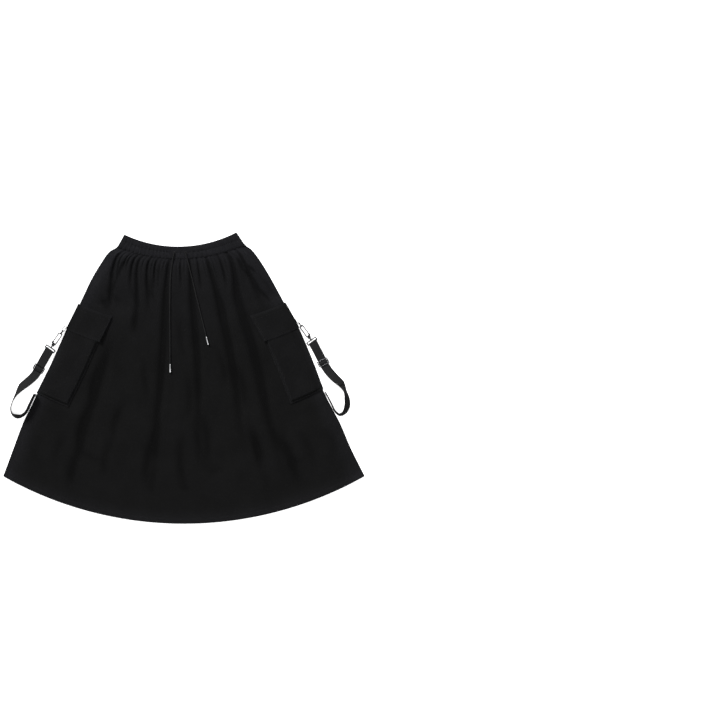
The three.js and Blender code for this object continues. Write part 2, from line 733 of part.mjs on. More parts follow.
// The spring gate closes the hook between its nose and its pivot
function makeGate(parent, name) {
  const { bow, nose, pivot } = HOOK;
  const tip = nose + GAP - pivot;
  const half = GATE.width / 2;
  const shape = new THREE.Shape();
  shape.moveTo(tip, -half);
  shape.lineTo(-GATE.knuckle, -half);
  const start = Math.PI + Math.asin(half / GATE.knuckle);
  shape.absarc(0, 0, GATE.knuckle, start, start + 2 * (Math.PI - Math.asin(half / GATE.knuckle)));
  shape.lineTo(tip, half);
  const hole = new THREE.Path();
  hole.absarc(0, 0, GATE.pin + GAP, 0, 2 * Math.PI, true);
  shape.holes.push(hole);
  const geometry = new THREE.ExtrudeGeometry(shape, {
    depth: GATE.thick,
    bevelEnabled: false,
    curveSegments: 10,
  });
  geometry.translate(0, 0, -GATE.thick / 2);
  const mesh = add(parent, `hook_gate_${name}`, geometry, MATERIALS.metal);
  mesh.position.set(pivot, bow, 0);
}

// The swivel: a headed post through the collar, carrying the eye for the webbing
function makeSwivel(parent, name) {
  const { collar } = HOOK;
  const { start, length, width, wire } = EYE;
  const thick = 1.5;
  const [from, to] = [collar.start - thick, start + 1];
  const post = new THREE.CylinderGeometry(EYE.post, EYE.post, to - from, 10);
  post.rotateZ(Math.PI / 2).translate((from + to) / 2, 0, 0);
  const head = new THREE.CylinderGeometry(EYE.head, EYE.head, thick, 12);
  head.rotateZ(Math.PI / 2).translate(collar.start - GAP - thick / 2, 0, 0);
  const frame = frameShape(length, width, 2.4);
  frame.holes.push(frameShape(length - 2 * wire, width - 2 * wire, 0.8));
  const bevel = 0.6;
  const eye = new THREE.ExtrudeGeometry(frame, {
    depth: wire - 2 * bevel,
    bevelThickness: bevel,
    bevelSize: bevel,
    bevelOffset: -bevel,
    bevelSegments: 1,
    curveSegments: 3,
  });
  eye.translate(start + length / 2, 0, bevel - wire / 2);
  add(parent, `swivel_eye_${name}`, joined(post, head, eye), MATERIALS.metal);
}

// A rounded rectangle about the middle, length along X
function frameShape(length, width, corner) {
  const [a, b] = [length / 2, width / 2];
  const shape = new THREE.Shape();
  shape.moveTo(-a + corner, -b);
  shape.lineTo(a - corner, -b);
  shape.absarc(a - corner, -b + corner, corner, -Math.PI / 2, 0);
  shape.lineTo(a, b - corner);
  shape.absarc(a - corner, b - corner, corner, 0, Math.PI / 2);
  shape.lineTo(-a + corner, b);
  shape.absarc(-a + corner, b - corner, corner, Math.PI / 2, Math.PI);
  shape.lineTo(-a, -b + corner);
  shape.absarc(-a + corner, -b + corner, corner, Math.PI, 1.5 * Math.PI);
  return shape;
}

// A round bar through frames, each a point and the level direction square to the route
function roundBar(frames, radius, sides = 8) {
  const points = frames.flatMap(({ point, side, up = vector(0, 0, 1) }) =>
    Array.from({ length: sides }, (_, k) => {
      const angle = (2 * Math.PI * (k + 0.5)) / sides;
      return point
        .clone()
        .addScaledVector(side, radius * Math.cos(angle))
        .addScaledVector(up, radius * Math.sin(angle));
    }),
  );
  const faces = [];
  for (let i = 0; i < frames.length - 1; i += 1) {
    for (let k = 0; k < sides; k += 1) {
      const next = (k + 1) % sides;
      const [a, b] = [i * sides, (i + 1) * sides];
      faces.push(...quad(a + k, a + next, b + next, b + k));
    }
  }
  const end = (frames.length - 1) * sides;
  for (let k = 1; k < sides - 1; k += 1) {
    faces.push([0, k + 1, k], [end, end + k, end + k + 1]);
  }
  return closedGeometry(points, faces);
}

// Straps

const UP = vector(0, 0, 1);

// Frames along the loose run, with the strip's face turned up
function runFrames(rows, side, steps) {
  const floor = new THREE.CatmullRomCurve3(rows.map(({ x, y }) => vector(x, y, 0)));
  const leans = new THREE.CatmullRomCurve3(rows.map(({ lean }, i) => vector(lean, i, 0)));
  return Array.from({ length: steps + 1 }, (_, i) => {
    const t = i / steps;
    const ahead = floor.getTangent(t);
    const inwards = vector(ahead.y, -ahead.x, 0).multiplyScalar(side);
    const lean = degToRad(clamp(leans.getPoint(t).x, 0, 90));
    const [c, n] = [Math.cos(lean), Math.sin(lean)];
    const point = floor.getPoint(t);
    point.z = (WEBBING.width * n) / 2 + (WEBBING.thick * c) / 2 + 0.1;
    const wide = inwards.clone().multiplyScalar(c).addScaledVector(UP, n);
    const face = UP.clone().multiplyScalar(c).addScaledVector(inwards, -n);
    return { point, wide, face };
  });
}

const turnedOver = ({ point, wide, face }) => ({ point, wide, face: face.clone().negate() });

// The strip from its cut end back over the slider's bar, round the eye and down the loose run
function strapFrames(pocket, bar) {
  const { side, name } = pocket;
  const rows = STRAP_RUNS[name];
  const perRow = 3;
  const run = runFrames(rows, side, (rows.length - 1) * perRow);
  const tail = run.slice(2, TAIL_ROWS * perRow + 1).map(({ point, wide, face }) => ({
    point: point.clone().addScaledVector(face, STACKED),
    wide,
    face,
  }));
  const slider = run[0];
  const heading = bar.point.clone().sub(slider.point).setZ(0);
  const reach = heading.length();
  heading.normalize();
  const level = vector(-heading.y, heading.x, 0).multiplyScalar(side);
  const station = (s, z, face) => {
    const t = clamp(s / reach, 0, 1);
    const wide = level.clone().lerp(bar.wide, t * t).normalize();
    return { point: slider.point.clone().addScaledVector(heading, s).setZ(z), wide, face };
  };
  const low = slider.point.z;
  const high = low + STACKED;
  const wrap = EYE.wire / 2 + 2 * GAP + WEBBING.thick / 2;
  const hump = [
    [-7.5, 0],
    [-4.6, 0.7],
    [-2.6, 1.9],
    [0, 2.1],
    [2.6, 1.9],
    [4.6, 0.7],
    [7.5, 0],
  ];
  const over = hump.map(([s, raise]) => station(s, high + raise, UP));
  const upper = [0.3, 0.6, 0.85].map((t) =>
    station(t * reach, lerp(high, bar.point.z + wrap, smoothstep(t, 0.1, 0.85)), UP),
  );
  const round = [90, 50, 15, -20, -55, -90].map((degrees) => {
    const angle = degToRad(degrees);
    const face = bar.ahead.clone().multiplyScalar(Math.cos(angle)).addScaledVector(UP, Math.sin(angle));
    return { point: bar.point.clone().addScaledVector(face, wrap), wide: bar.wide, face };
  });
  const under = [0.85, 0.6, 0.3].map((t) =>
    turnedOver(station(t * reach, lerp(low, bar.point.z - wrap, smoothstep(t, 0.1, 0.85)), UP)),
  );
  return [...tail.reverse(), ...over, ...upper, ...round, ...under, ...run.map(turnedOver)];
}

// A tri-glide: two end bars over the webbing, a middle bar under it and a side bar at each edge
function makeSlider(pocket, bar) {
  const [{ x, y }] = STRAP_RUNS[pocket.name];
  const { length, width, side, low, rod, rodHeight } = SLIDER;
  const sideBar = frameShape(length, side, 1.2);
  const tall = rodHeight + rod - low - 0.5;
  const parts = [-1, 1].map((end) => {
    const settings = { depth: tall, bevelEnabled: false, curveSegments: 2 };
    const geometry = new THREE.ExtrudeGeometry(sideBar, settings);
    return geometry.translate(0, (end * (width - side)) / 2, low);
  });
  for (const end of [-1, 1]) {
    const round = new THREE.CylinderGeometry(rod, rod, width - side, 8);
    parts.push(round.translate((end * (length - 2 * rod)) / 2, 0, rodHeight));
  }
  parts.push(boxAt(0, 0, low + 0.8, [4, width - side, 1.6]));
  const mesh = add(group, `slider_${pocket.name}`, joined(...parts), MATERIALS.metal);
  mesh.position.set(x, y, 0);
  mesh.rotation.z = Math.atan2(bar.point.y - y, bar.point.x - x);
}

// The tab is a doubled tape, on edge along the flap's fold, with the ring's wire in its turn
function makeTab(pocket, wire, along, outwards) {
  const inner = TAB.turn + TAB.thick / 2;
  const at = (a, o, face) => ({
    point: wire.clone().addScaledVector(along, a).addScaledVector(outwards, o),
    wide: UP,
    face,
  });
  const frames = [TAB.reach, TAB.reach / 2].map((a) => at(-a, -inner, outwards.clone().negate()));
  for (const degrees of [-90, -45, 0, 45, 90]) {
    const angle = degToRad(degrees);
    const face = along.clone().multiplyScalar(Math.cos(angle)).addScaledVector(outwards, Math.sin(angle));
    frames.push(at(inner * Math.cos(angle), inner * Math.sin(angle), face));
  }
  frames.push(at(-TAB.reach / 2, inner * 0.7, outwards), at(-TAB.reach, inner * 0.3, outwards));
  add(group, `ring_tab_${pocket.name}`, stripGeometry(frames, TAB.width, TAB.thick), MATERIALS.webbing);
}

function makeStrap(pocket) {
  const { side, name, tabDown } = pocket;
  const edge = layPoint(side, tabDown);
  const before = layPoint(side, tabDown - 0.02);
  const along = vector(edge.x - before.x, edge.y - before.y, 0).normalize();
  const outwards = vector(-along.y, along.x, 0).multiplyScalar(side);
  const fold = GAP + LAYER + FOLD_BULGE + POCKET_CLOTH;
  const stand = fold + GAP + TAB.thick + TAB.turn;
  const wire = vector(edge.x, edge.y, RING.height).addScaledVector(outwards, stand);
  makeTab(pocket, wire, along, outwards);

  const heading = vector(side * HEADING.x, HEADING.y, 0).normalize();
  const bowFromWire = 2 * RING.radius + HOOK.bow - HOOK.wire / 2 - GAP - RING.wire / 2;
  const hardware = new THREE.Group();
  hardware.position.copy(wire).addScaledVector(heading, bowFromWire);
  hardware.rotation.z = Math.atan2(heading.y, heading.x);
  group.add(hardware);
  makeRing(hardware, name);
  const hook = new THREE.Group();
  hook.rotation.set(side > 0 ? 0 : Math.PI, side * Math.atan(-HOOK.slope), 0);
  hardware.add(hook);
  makeHook(hook, name);
  makeGate(hook, name);
  makeSwivel(hook, name);

  const farBar = EYE.start + EYE.length - EYE.wire / 2;
  const bar = {
    point: hardware.position.clone().addScaledVector(heading, farBar).add(vector(0, 0, farBar * HOOK.slope)),
    ahead: heading.clone().negate(),
    wide: vector(-heading.y, heading.x, 0).multiplyScalar(-side),
  };
  const frames = strapFrames(pocket, bar);
  const webbing = stripGeometry(frames, WEBBING.width, WEBBING.thick);
  add(group, `strap_${name}`, webbing, MATERIALS.webbing);
  makeSlider(pocket, bar);
}

// Drawstrings

function makeDrawstring({ name, route }) {
  const curve = new THREE.CatmullRomCurve3(route.map((point) => vector(...point)));
  const cord = barGeometry(curve, CORD.radius, CORD.steps, CORD.sides);
  add(group, `drawstring_${name}`, cord, MATERIALS.cord);
  const end = curve.getPoint(1);
  const along = curve.getTangent(1);
  const profile = [
    [0, 0],
    [TIP.radius - 0.5, 0],
    [TIP.radius, 0.8],
    [TIP.radius, TIP.length - 1],
    [TIP.radius - 0.8, TIP.length],
    [0, TIP.length],
  ].map(([r, h]) => new THREE.Vector2(r, h));
  const tip = add(group, `tip_${name}`, new THREE.LatheGeometry(profile, 12), MATERIALS.metal);
  tip.quaternion.setFromUnitVectors(vector(0, 1, 0), along);
  tip.position.copy(end).addScaledVector(along, GAP);
}

makePanels();
makeWaistband();
makeEyelets();
for (const pocket of POCKETS) {
  makeBag(pocket);
  makeFlap(pocket);
  makeStrap(pocket);
}
for (const cord of DRAWSTRINGS) makeDrawstring(cord);

export default group;
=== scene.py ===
# %% [markdown]
# # A cargo skirt laid flat, photographed from straight above
# The skirt has two panels gathered into an elastic waistband, a bellows pocket with a flap over each
# side seam, a webbing strap with a snap hook at each pocket and a drawstring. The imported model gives
# the true size and place of every piece. This lesson builds the look of each piece around it: thin
# cloth shells with their folds, woven tape, braided cord, sewing and nickel hardware.

import math

import bpy
import numpy as np
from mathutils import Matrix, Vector


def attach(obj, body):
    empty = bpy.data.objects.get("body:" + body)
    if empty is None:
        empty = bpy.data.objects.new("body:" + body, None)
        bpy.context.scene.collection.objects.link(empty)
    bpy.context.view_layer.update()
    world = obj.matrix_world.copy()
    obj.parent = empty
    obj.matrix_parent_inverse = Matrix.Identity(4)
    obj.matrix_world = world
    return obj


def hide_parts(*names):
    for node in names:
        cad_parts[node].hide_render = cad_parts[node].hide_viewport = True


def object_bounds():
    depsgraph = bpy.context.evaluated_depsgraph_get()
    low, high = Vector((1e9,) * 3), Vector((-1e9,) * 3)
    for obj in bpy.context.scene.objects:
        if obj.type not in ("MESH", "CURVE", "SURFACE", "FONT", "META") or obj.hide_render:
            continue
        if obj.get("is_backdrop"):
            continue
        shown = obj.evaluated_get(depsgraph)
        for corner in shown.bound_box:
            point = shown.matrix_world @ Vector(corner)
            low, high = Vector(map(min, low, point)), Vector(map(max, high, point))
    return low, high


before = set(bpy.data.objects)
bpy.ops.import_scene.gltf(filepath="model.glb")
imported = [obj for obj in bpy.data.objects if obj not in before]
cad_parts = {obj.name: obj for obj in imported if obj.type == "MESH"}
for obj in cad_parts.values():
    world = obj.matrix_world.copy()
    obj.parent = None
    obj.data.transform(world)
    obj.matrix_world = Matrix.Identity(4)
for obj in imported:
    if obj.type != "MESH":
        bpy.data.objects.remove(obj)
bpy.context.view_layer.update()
MM = 0.001
SKIRT = "skirt"

# %% [markdown]
# ## The camera
# The photo shows the garment as laid on a table and looks straight down with a long lens, so no side
# of it leans away. The skirt fills the left half of the photo, so the camera stands to its right and
# needs no shift.

# %% Camera
VIEW = {"x": 0.513, "y": 0.040, "height": 5.764, "lens": 100, "sensor": 36}
camera_data = bpy.data.cameras.new("camera")
camera_data.lens = VIEW["lens"]
camera_data.sensor_width = VIEW["sensor"]
camera_data.clip_end = 100
camera = bpy.data.objects.new("camera", camera_data)
camera.location = (VIEW["x"], VIEW["y"], VIEW["height"])
bpy.context.scene.collection.objects.link(camera)
bpy.context.scene.camera = camera
print("the photo is", round(VIEW["height"] * VIEW["sensor"] / VIEW["lens"], 3), "m across")


# %% [markdown]
# ## Meshes from grids of points
# Cloth, tape and cord are all grids: rows of points that run along the piece and columns that run
# across it. A wall is two such grids, the face and the back of the cloth, joined along their edges.
# Each point also keeps its place on the flat cloth, in metres, as an attribute called lay. The weave
# reads it, so the threads follow the folds as they do in cloth.

# %% Helpers for grids
SHARP_ANGLE = 40


def smooth(value, start, end):
    t = np.clip((np.asarray(value, float) - start) / (end - start), 0, 1)
    return t * t * (3 - 2 * t)


def mix(a, b, t):
    return a + (b - a) * t


def keep_attribute(mesh, name, values):
    """Stores a number or a vector for each point."""
    values = np.asarray(values, np.float32)
    kind = "FLOAT_VECTOR" if values.ndim == 2 else "FLOAT"
    made = mesh.attributes.new(name, kind, "POINT")
    made.data.foreach_set("vector" if values.ndim == 2 else "value", values.ravel())


def add_mesh(name, points, faces, material, slot, body=SKIRT, **attributes):
    """A piece from points in millimetres, smooth but for its sharp edges."""
    mesh = bpy.data.meshes.new(name)
    mesh.from_pydata((np.asarray(points) * MM).tolist(), [], faces)
    mesh.validate()
    mesh.shade_smooth()
    mesh.set_sharp_from_angle(angle=math.radians(SHARP_ANGLE))
    for key, values in attributes.items():
        keep_attribute(mesh, key, values)
    mesh.materials.append(material)
    piece = bpy.data.objects.new(name, mesh)
    bpy.context.scene.collection.objects.link(piece)
    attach(piece, body)
    return piece


def grid_faces(rows, columns, start=0, closed=False, flip=False):
    r, c = np.meshgrid(np.arange(rows - 1), np.arange(columns if closed else columns - 1), indexing="ij")
    ahead = (c + 1) % columns
    a, b = start + r * columns + c, start + r * columns + ahead
    d, e = start + (r + 1) * columns + c, start + (r + 1) * columns + ahead
    order = (a, d, e, b) if flip else (a, b, e, d)
    return np.stack(order, -1).reshape(-1, 4).tolist()


def wall_faces(rows, columns, closed=False):
    """Faces of a wall: the face grid, the back grid and the rims between them."""
    back = rows * columns
    faces = grid_faces(rows, columns, 0, closed) + grid_faces(rows, columns, back, closed, flip=True)
    for c in range(columns if closed else columns - 1):
        ahead = (c + 1) % columns
        end = (rows - 1) * columns
        faces.append([c, c + back, ahead + back, ahead])
        faces.append([end + c, end + ahead, end + ahead + back, end + c + back])
    if not closed:
        for r in range(rows - 1):
            a, b = r * columns, (r + 1) * columns
            end = columns - 1
            faces.append([a, b, b + back, a + back])
            faces.append([a + end, a + end + back, b + end + back, b + end])
    return faces


def add_wall(name, face, back, lay, material, slot, closed=False, **masks):
    """face and back are grids of points (rows, columns, 3) and lay the flat cloth's (rows, columns, 2)."""
    rows, columns = face.shape[:2]
    points = np.concatenate([face.reshape(-1, 3), back.reshape(-1, 3)])
    flat = np.concatenate([lay.reshape(-1, 2)] * 2) * MM
    flat = np.column_stack([flat, np.repeat([0.0, 1.0], rows * columns)])
    both = {key: np.concatenate([value.ravel()] * 2) for key, value in masks.items()}
    faces = wall_faces(rows, columns, closed)
    return add_mesh(name, points, faces, material, slot, lay=flat, **both)


print("helpers for grids are ready")

# %% [markdown]
# ## A smooth route through points
# Cord and webbing follow curves through a few points. The curve is the same kind that the solids
# use, with its knots spaced by the root of the distance, so each piece lies just where its solid is.

# %% Helpers for routes
def route_points(route, count):
    """Points, evenly spread between the knots, on the smooth curve through a route."""
    route = np.asarray(route, float)
    last = len(route) - 1
    before, after = 2 * route[0] - route[1], 2 * route[-1] - route[-2]
    padded = np.vstack([before, route, after])
    out = []
    for t in np.linspace(0, last, count):
        i = min(int(t), last - 1)
        w = t - i
        p0, p1, p2, p3 = padded[i : i + 4]
        d0, d1, d2 = (max(np.sum((b - a) ** 2) ** 0.25, 1e-4) for a, b in ((p0, p1), (p1, p2), (p2, p3)))
        t1 = ((p1 - p0) / d0 - (p2 - p0) / (d0 + d1) + (p2 - p1) / d1) * d1
        t2 = ((p2 - p1) / d1 - (p3 - p1) / (d1 + d2) + (p3 - p2) / d2) * d1
        c2, c3 = -3 * p1 + 3 * p2 - 2 * t1 - t2, 2 * p1 - 2 * p2 + t1 + t2
        out.append(p1 + t1 * w + c2 * w**2 + c3 * w**3)
    return np.array(out)


def unit(v):
    v = np.asarray(v, float)
    return v / np.maximum(np.linalg.norm(v, axis=-1, keepdims=True), 1e-12)


def lengths_along(points):
    return np.concatenate([[0], np.cumsum(np.linalg.norm(np.diff(points, axis=0), axis=1))])


def even_points(points, count):
    """The same line with points an even distance apart."""
    s = lengths_along(points)
    at = np.linspace(0, s[-1], count)
    return np.column_stack([np.interp(at, s, points[:, k]) for k in range(points.shape[1])])


def ring_frames(path, closed=False):
    """Two directions square to a path at each of its points, carried along without a twist."""
    ahead = np.roll(path, -1, 0) - np.roll(path, 1, 0) if closed else np.gradient(path, axis=0)
    along = unit(ahead)
    sides = []
    side = np.cross(along[0], (0, 0, 1))
    for tangent in along:
        side = unit(side - tangent * side.dot(tangent))
        sides.append(side)
    sides = np.array(sides)
    return sides, np.cross(sides, along)


def tube(path, radius, around, closed=False, relief=None):
    """Points, faces and flat places of a round tube. radius is a number or one for each point, and
    relief(along, round) adds to it, with round from 0 to 1."""
    side, up = ring_frames(path, closed)
    s = lengths_along(path)
    turn = np.arange(around) / around
    reach = np.broadcast_to(radius, (len(path),))[:, None] + np.zeros((1, around))
    if relief is not None:
        reach = reach + relief(s[:, None], turn[None, :])
    c, n = np.cos(2 * np.pi * turn), np.sin(2 * np.pi * turn)
    points = path[:, None] + reach[..., None] * (side[:, None] * c[:, None] + up[:, None] * n[:, None])
    rows = len(path)
    faces = grid_faces(rows, around, 0, closed=True)
    if closed:
        end = (rows - 1) * around
        for k in range(around):
            ahead = (k + 1) % around
            faces.append([end + k, end + ahead, ahead, k])
    else:
        faces.append(list(range(around))[::-1])
        faces.append([(rows - 1) * around + k for k in range(around)])
    flat = np.stack(np.broadcast_arrays(s[:, None], turn[None, :] * 2 * np.pi * np.mean(radius)), -1)
    flat = np.concatenate([flat.reshape(-1, 2) * MM, np.zeros((rows * around, 1))], 1)
    return points.reshape(-1, 3), faces, flat


def merged(*parts):
    """The points and faces of several pieces as one."""
    points, faces, start = [], [], 0
    for p, f, *_ in parts:
        points.append(p)
        faces += [[i + start for i in face] for face in f]
        start += len(p)
    return np.concatenate(points), faces


print("helpers for routes are ready")

# %% [markdown]
# ## Shared effects: weave, mottle and wear
# Every cloth here shows the same three things: threads that cross over and under, with painted shade
# where they dip, an uneven dye with lint on it, and paler places where it rubs, which on the panels
# and band are also painted light along the edges. Each effect is a node group with named inputs, so
# each material can place it with its own values.

# %% Node group helpers
def new_group(name, inputs, outputs):
    group = bpy.data.node_groups.new(name, "ShaderNodeTree")
    for label, kind, value in inputs:
        socket = group.interface.new_socket(label, in_out="INPUT", socket_type=kind)
        if value is not None:
            socket.default_value = value
    for label, kind in outputs:
        group.interface.new_socket(label, in_out="OUTPUT", socket_type=kind)
    return group, group.nodes.new("NodeGroupInput"), group.nodes.new("NodeGroupOutput")


def feed(tree, socket, value):
    """Links a socket to another one, or sets its number."""
    if isinstance(value, bpy.types.NodeSocket):
        tree.links.new(value, socket)
    else:
        socket.default_value = value


def calculate(tree, operation, *values, clamp=False):
    node = tree.nodes.new("ShaderNodeMath")
    node.operation = operation
    node.use_clamp = clamp
    for socket, value in zip(node.inputs, values):
        feed(tree, socket, value)
    return node.outputs[0]


def noise(tree, place, scale, detail, rough=0.5):
    node = tree.nodes.new("ShaderNodeTexNoise")
    feed(tree, node.inputs["Vector"], place)
    feed(tree, node.inputs["Scale"], scale)
    node.inputs["Detail"].default_value = detail
    node.inputs["Roughness"].default_value = rough
    return node.outputs[0]


FLOAT, VECTOR = "NodeSocketFloat", "NodeSocketVector"
print("node helpers are ready")

# %% The weave: rounded threads that cross over and under, with painted shade where they dip
weave, inside, out = new_group(
    "weave",
    [("Place", VECTOR, None), ("Thread", FLOAT, 0.0006), ("Rib", FLOAT, 1.0)],
    [("Height", FLOAT), ("Shade", FLOAT)],
)
split = weave.nodes.new("ShaderNodeSeparateXYZ")
weave.links.new(inside.outputs["Place"], split.inputs[0])
turns = []
for axis, stretch in ((0, 1.0), (1, inside.outputs["Rib"])):
    pitch = calculate(weave, "MULTIPLY", inside.outputs["Thread"], stretch)
    half_turns = calculate(weave, "MULTIPLY", split.outputs[axis], math.pi)
    turns.append(calculate(weave, "DIVIDE", half_turns, pitch))
warp, weft = (calculate(weave, "SINE", turn) for turn in turns)
over = calculate(weave, "GREATER_THAN", calculate(weave, "MULTIPLY", warp, weft), 0.0)
on_top = calculate(weave, "ABSOLUTE", warp)
beneath = calculate(weave, "ABSOLUTE", weft)
height = calculate(
    weave,
    "ADD",
    calculate(weave, "MULTIPLY", on_top, over),
    calculate(weave, "MULTIPLY", beneath, calculate(weave, "SUBTRACT", 1.0, over)),
)
weave.links.new(height, out.inputs["Height"])
# Shade is painted shade: the colour darkens where a thread dips under its neighbour.
weave.links.new(calculate(weave, "MULTIPLY_ADD", height, 0.6, 0.55), out.inputs["Shade"])

# %% The mottle: uneven dye, slubs and lint
mottle, inside, out = new_group(
    "mottle",
    [("Place", VECTOR, None), ("Cloud", FLOAT, 14.0), ("Slub", FLOAT, 420.0), ("Lint", FLOAT, 0.5)],
    [("Shade", FLOAT), ("Lint", FLOAT), ("Height", FLOAT)],
)
cloud = noise(mottle, inside.outputs["Place"], inside.outputs["Cloud"], 4.0, 0.55)
slub = noise(mottle, inside.outputs["Place"], inside.outputs["Slub"], 2.0, 0.6)
shade = calculate(mottle, "MULTIPLY_ADD", cloud, 0.5, 0.5)
shade = calculate(mottle, "MULTIPLY_ADD", calculate(mottle, "SUBTRACT", slub, 0.5), 0.5, shade)
mottle.links.new(shade, out.inputs["Shade"])
speck = calculate(mottle, "GREATER_THAN", noise(mottle, inside.outputs["Place"], 900.0, 1.0), 0.76)
mottle.links.new(calculate(mottle, "MULTIPLY", speck, inside.outputs["Lint"]), out.inputs["Lint"])
mottle.links.new(cloud, out.inputs["Height"])

# %% The wear: a mask that is strong at worn points and broken up by noise
wear, inside, out = new_group(
    "wear",
    [("Place", VECTOR, None), ("Worn", FLOAT, 0.0), ("Amount", FLOAT, 0.5), ("Grain", FLOAT, 160.0)],
    [("Mask", FLOAT)],
)
grain = noise(wear, inside.outputs["Place"], inside.outputs["Grain"], 4.0, 0.65)
broken = calculate(wear, "MULTIPLY_ADD", grain, 1.2, -0.1, clamp=True)
mask = calculate(wear, "MULTIPLY", inside.outputs["Worn"], broken)
wear.links.new(calculate(wear, "MULTIPLY", mask, inside.outputs["Amount"], clamp=True), out.inputs["Mask"])
print("groups", [g.name for g in (weave, mottle, wear)])


# %% [markdown]
# ## Materials
# The skirt is dense black cotton with next to no shine. The tape is a shade lighter, with ribs that
# catch the light. Metal is dark nickel, and the cord tips are polished. Colours are linear: the cloth
# reflects a little over half a per cent, and about two per cent where it is worn or painted paler as
# light along its edges. Painted shade darkens it at the bottoms of folds.

# %% A fabric material from the shared effects
LINT_COLOUR = (0.05, 0.05, 0.055, 1)
FOLD_SHADE = 0.55


def place_group(tree, group, **values):
    node = tree.nodes.new("ShaderNodeGroup")
    node.node_tree = group
    for key, value in values.items():
        feed(tree, node.inputs[key.capitalize()], value)
    return node


def read_attribute(tree, name):
    node = tree.nodes.new("ShaderNodeAttribute")
    node.attribute_name = name
    return node


def mixed_colour(tree, factor, a, b):
    node = tree.nodes.new("ShaderNodeMix")
    node.data_type = "RGBA"
    for socket, value in zip((0, 6, 7), (factor, a, b)):
        feed(tree, node.inputs[socket], value)
    return node.outputs[2]


def scaled_colour(tree, colour, amount):
    node = tree.nodes.new("ShaderNodeVectorMath")
    node.operation = "SCALE"
    feed(tree, node.inputs[0], colour)
    feed(tree, node.inputs["Scale"], amount)
    return node.outputs[0]


def fabric(name, dark, pale, thread, rib=1.0, relief=0.00012, shine=0.2, sheen=0.02, rough=0.92):
    material = bpy.data.materials.new(name)
    material.use_nodes = True
    tree = material.node_tree
    shader = tree.nodes["Principled BSDF"]
    lay = read_attribute(tree, "lay").outputs["Vector"]
    threads = place_group(tree, weave, place=lay, thread=thread, rib=rib)
    dye = place_group(tree, mottle, place=lay)
    # The worn attribute pales the colour: wear, and on the panels and band also painted light along the
    # edges.
    rubbed = read_attribute(tree, "worn").outputs["Fac"]
    worn = place_group(tree, wear, place=lay, worn=rubbed, amount=0.8)
    colour = mixed_colour(tree, worn.outputs["Mask"], (*dark, 1), (*pale, 1))
    # shade joins the weave's painted shade and the dye's random tone.
    shade = calculate(tree, "MULTIPLY", threads.outputs["Shade"], dye.outputs["Shade"])
    # Painted shade: the deep attribute darkens the colour at the bottoms of folds and creases, by up to
    # FOLD_SHADE.
    deep = read_attribute(tree, "deep").outputs["Fac"]
    light = calculate(tree, "MULTIPLY_ADD", deep, -FOLD_SHADE, 1.0)
    colour = scaled_colour(tree, colour, calculate(tree, "MULTIPLY", shade, light))
    colour = mixed_colour(tree, dye.outputs["Lint"], colour, LINT_COLOUR)
    tree.links.new(colour, shader.inputs["Base Color"])
    uneven = calculate(tree, "MULTIPLY_ADD", dye.outputs["Shade"], -0.08, rough + 0.06)
    tree.links.new(uneven, shader.inputs["Roughness"])
    shader.inputs["Specular IOR Level"].default_value = shine
    shader.inputs["Sheen Weight"].default_value = sheen
    shader.inputs["Sheen Roughness"].default_value = 0.5
    bump = tree.nodes.new("ShaderNodeBump")
    bump.inputs["Strength"].default_value = 0.5
    bump.inputs["Distance"].default_value = relief
    tree.links.new(threads.outputs["Height"], bump.inputs["Height"])
    tree.links.new(bump.outputs["Normal"], shader.inputs["Normal"])
    return material


CLOTH = fabric("black_cotton", (0.0057, 0.0057, 0.0058), (0.023, 0.023, 0.028), 0.00065, shine=0.06)
TAPE = fabric(
    "ribbed_webbing",
    (0.0088, 0.0088, 0.0094),
    (0.021, 0.021, 0.022),
    0.0016,
    rib=0.5,
    relief=0.0003,
    shine=0.15,
    sheen=0.04,
    rough=0.75,
)
BRAID = fabric(
    "braided_cord",
    (0.0085, 0.0085, 0.009),
    (0.03, 0.03, 0.03),
    0.0012,
    relief=0.0002,
    shine=0.15,
    sheen=0.03,
    rough=0.8,
)
THREAD = fabric(
    "sewing_thread",
    (0.0066, 0.0066, 0.007),
    (0.02, 0.02, 0.022),
    0.0003,
    relief=0.00005,
    sheen=0.05,
    rough=0.6,
)
print("fabrics", [m.name for m in (CLOTH, TAPE, BRAID, THREAD)])


# %% A metal with rubbed patches scattered by noise
def plated(name, colour, rubbed, rough):
    material = bpy.data.materials.new(name)
    material.use_nodes = True
    tree = material.node_tree
    shader = tree.nodes["Principled BSDF"]
    place = tree.nodes.new("ShaderNodeTexCoord").outputs["Object"]
    worn = place_group(tree, wear, place=place, worn=1.0, amount=0.7, grain=240.0)
    dye = place_group(tree, mottle, place=place, cloud=90.0, slub=1500.0, lint=0.0)
    colour = mixed_colour(tree, worn.outputs["Mask"], (*colour, 1), (*rubbed, 1))
    tree.links.new(scaled_colour(tree, colour, dye.outputs["Shade"]), shader.inputs["Base Color"])
    uneven = calculate(tree, "MULTIPLY_ADD", dye.outputs["Shade"], 0.18, rough - 0.14)
    tree.links.new(uneven, shader.inputs["Roughness"])
    shader.inputs["Metallic"].default_value = 1.0
    bump = tree.nodes.new("ShaderNodeBump")
    bump.inputs["Strength"].default_value = 0.12
    bump.inputs["Distance"].default_value = 0.00005
    tree.links.new(dye.outputs["Height"], bump.inputs["Height"])
    tree.links.new(bump.outputs["Normal"], shader.inputs["Normal"])
    return material


NICKEL = plated("dark_nickel", (0.022, 0.022, 0.024), (0.11, 0.11, 0.115), 0.26)
SILVER = plated("polished_silver", (0.72, 0.72, 0.74), (0.95, 0.95, 0.96), 0.2)
print("metals", NICKEL.name, SILVER.name)

# %% [markdown]
# ## The drawstrings
# A round braid leaves each eyelet, drops off the waistband onto the cloth and lies down the front to
# a metal tip. It is modelled as a tube with its braid raised a little: sixteen strands that cross in
# two directions. The route repeats the solids' points, so that each cord lies on its own solid.

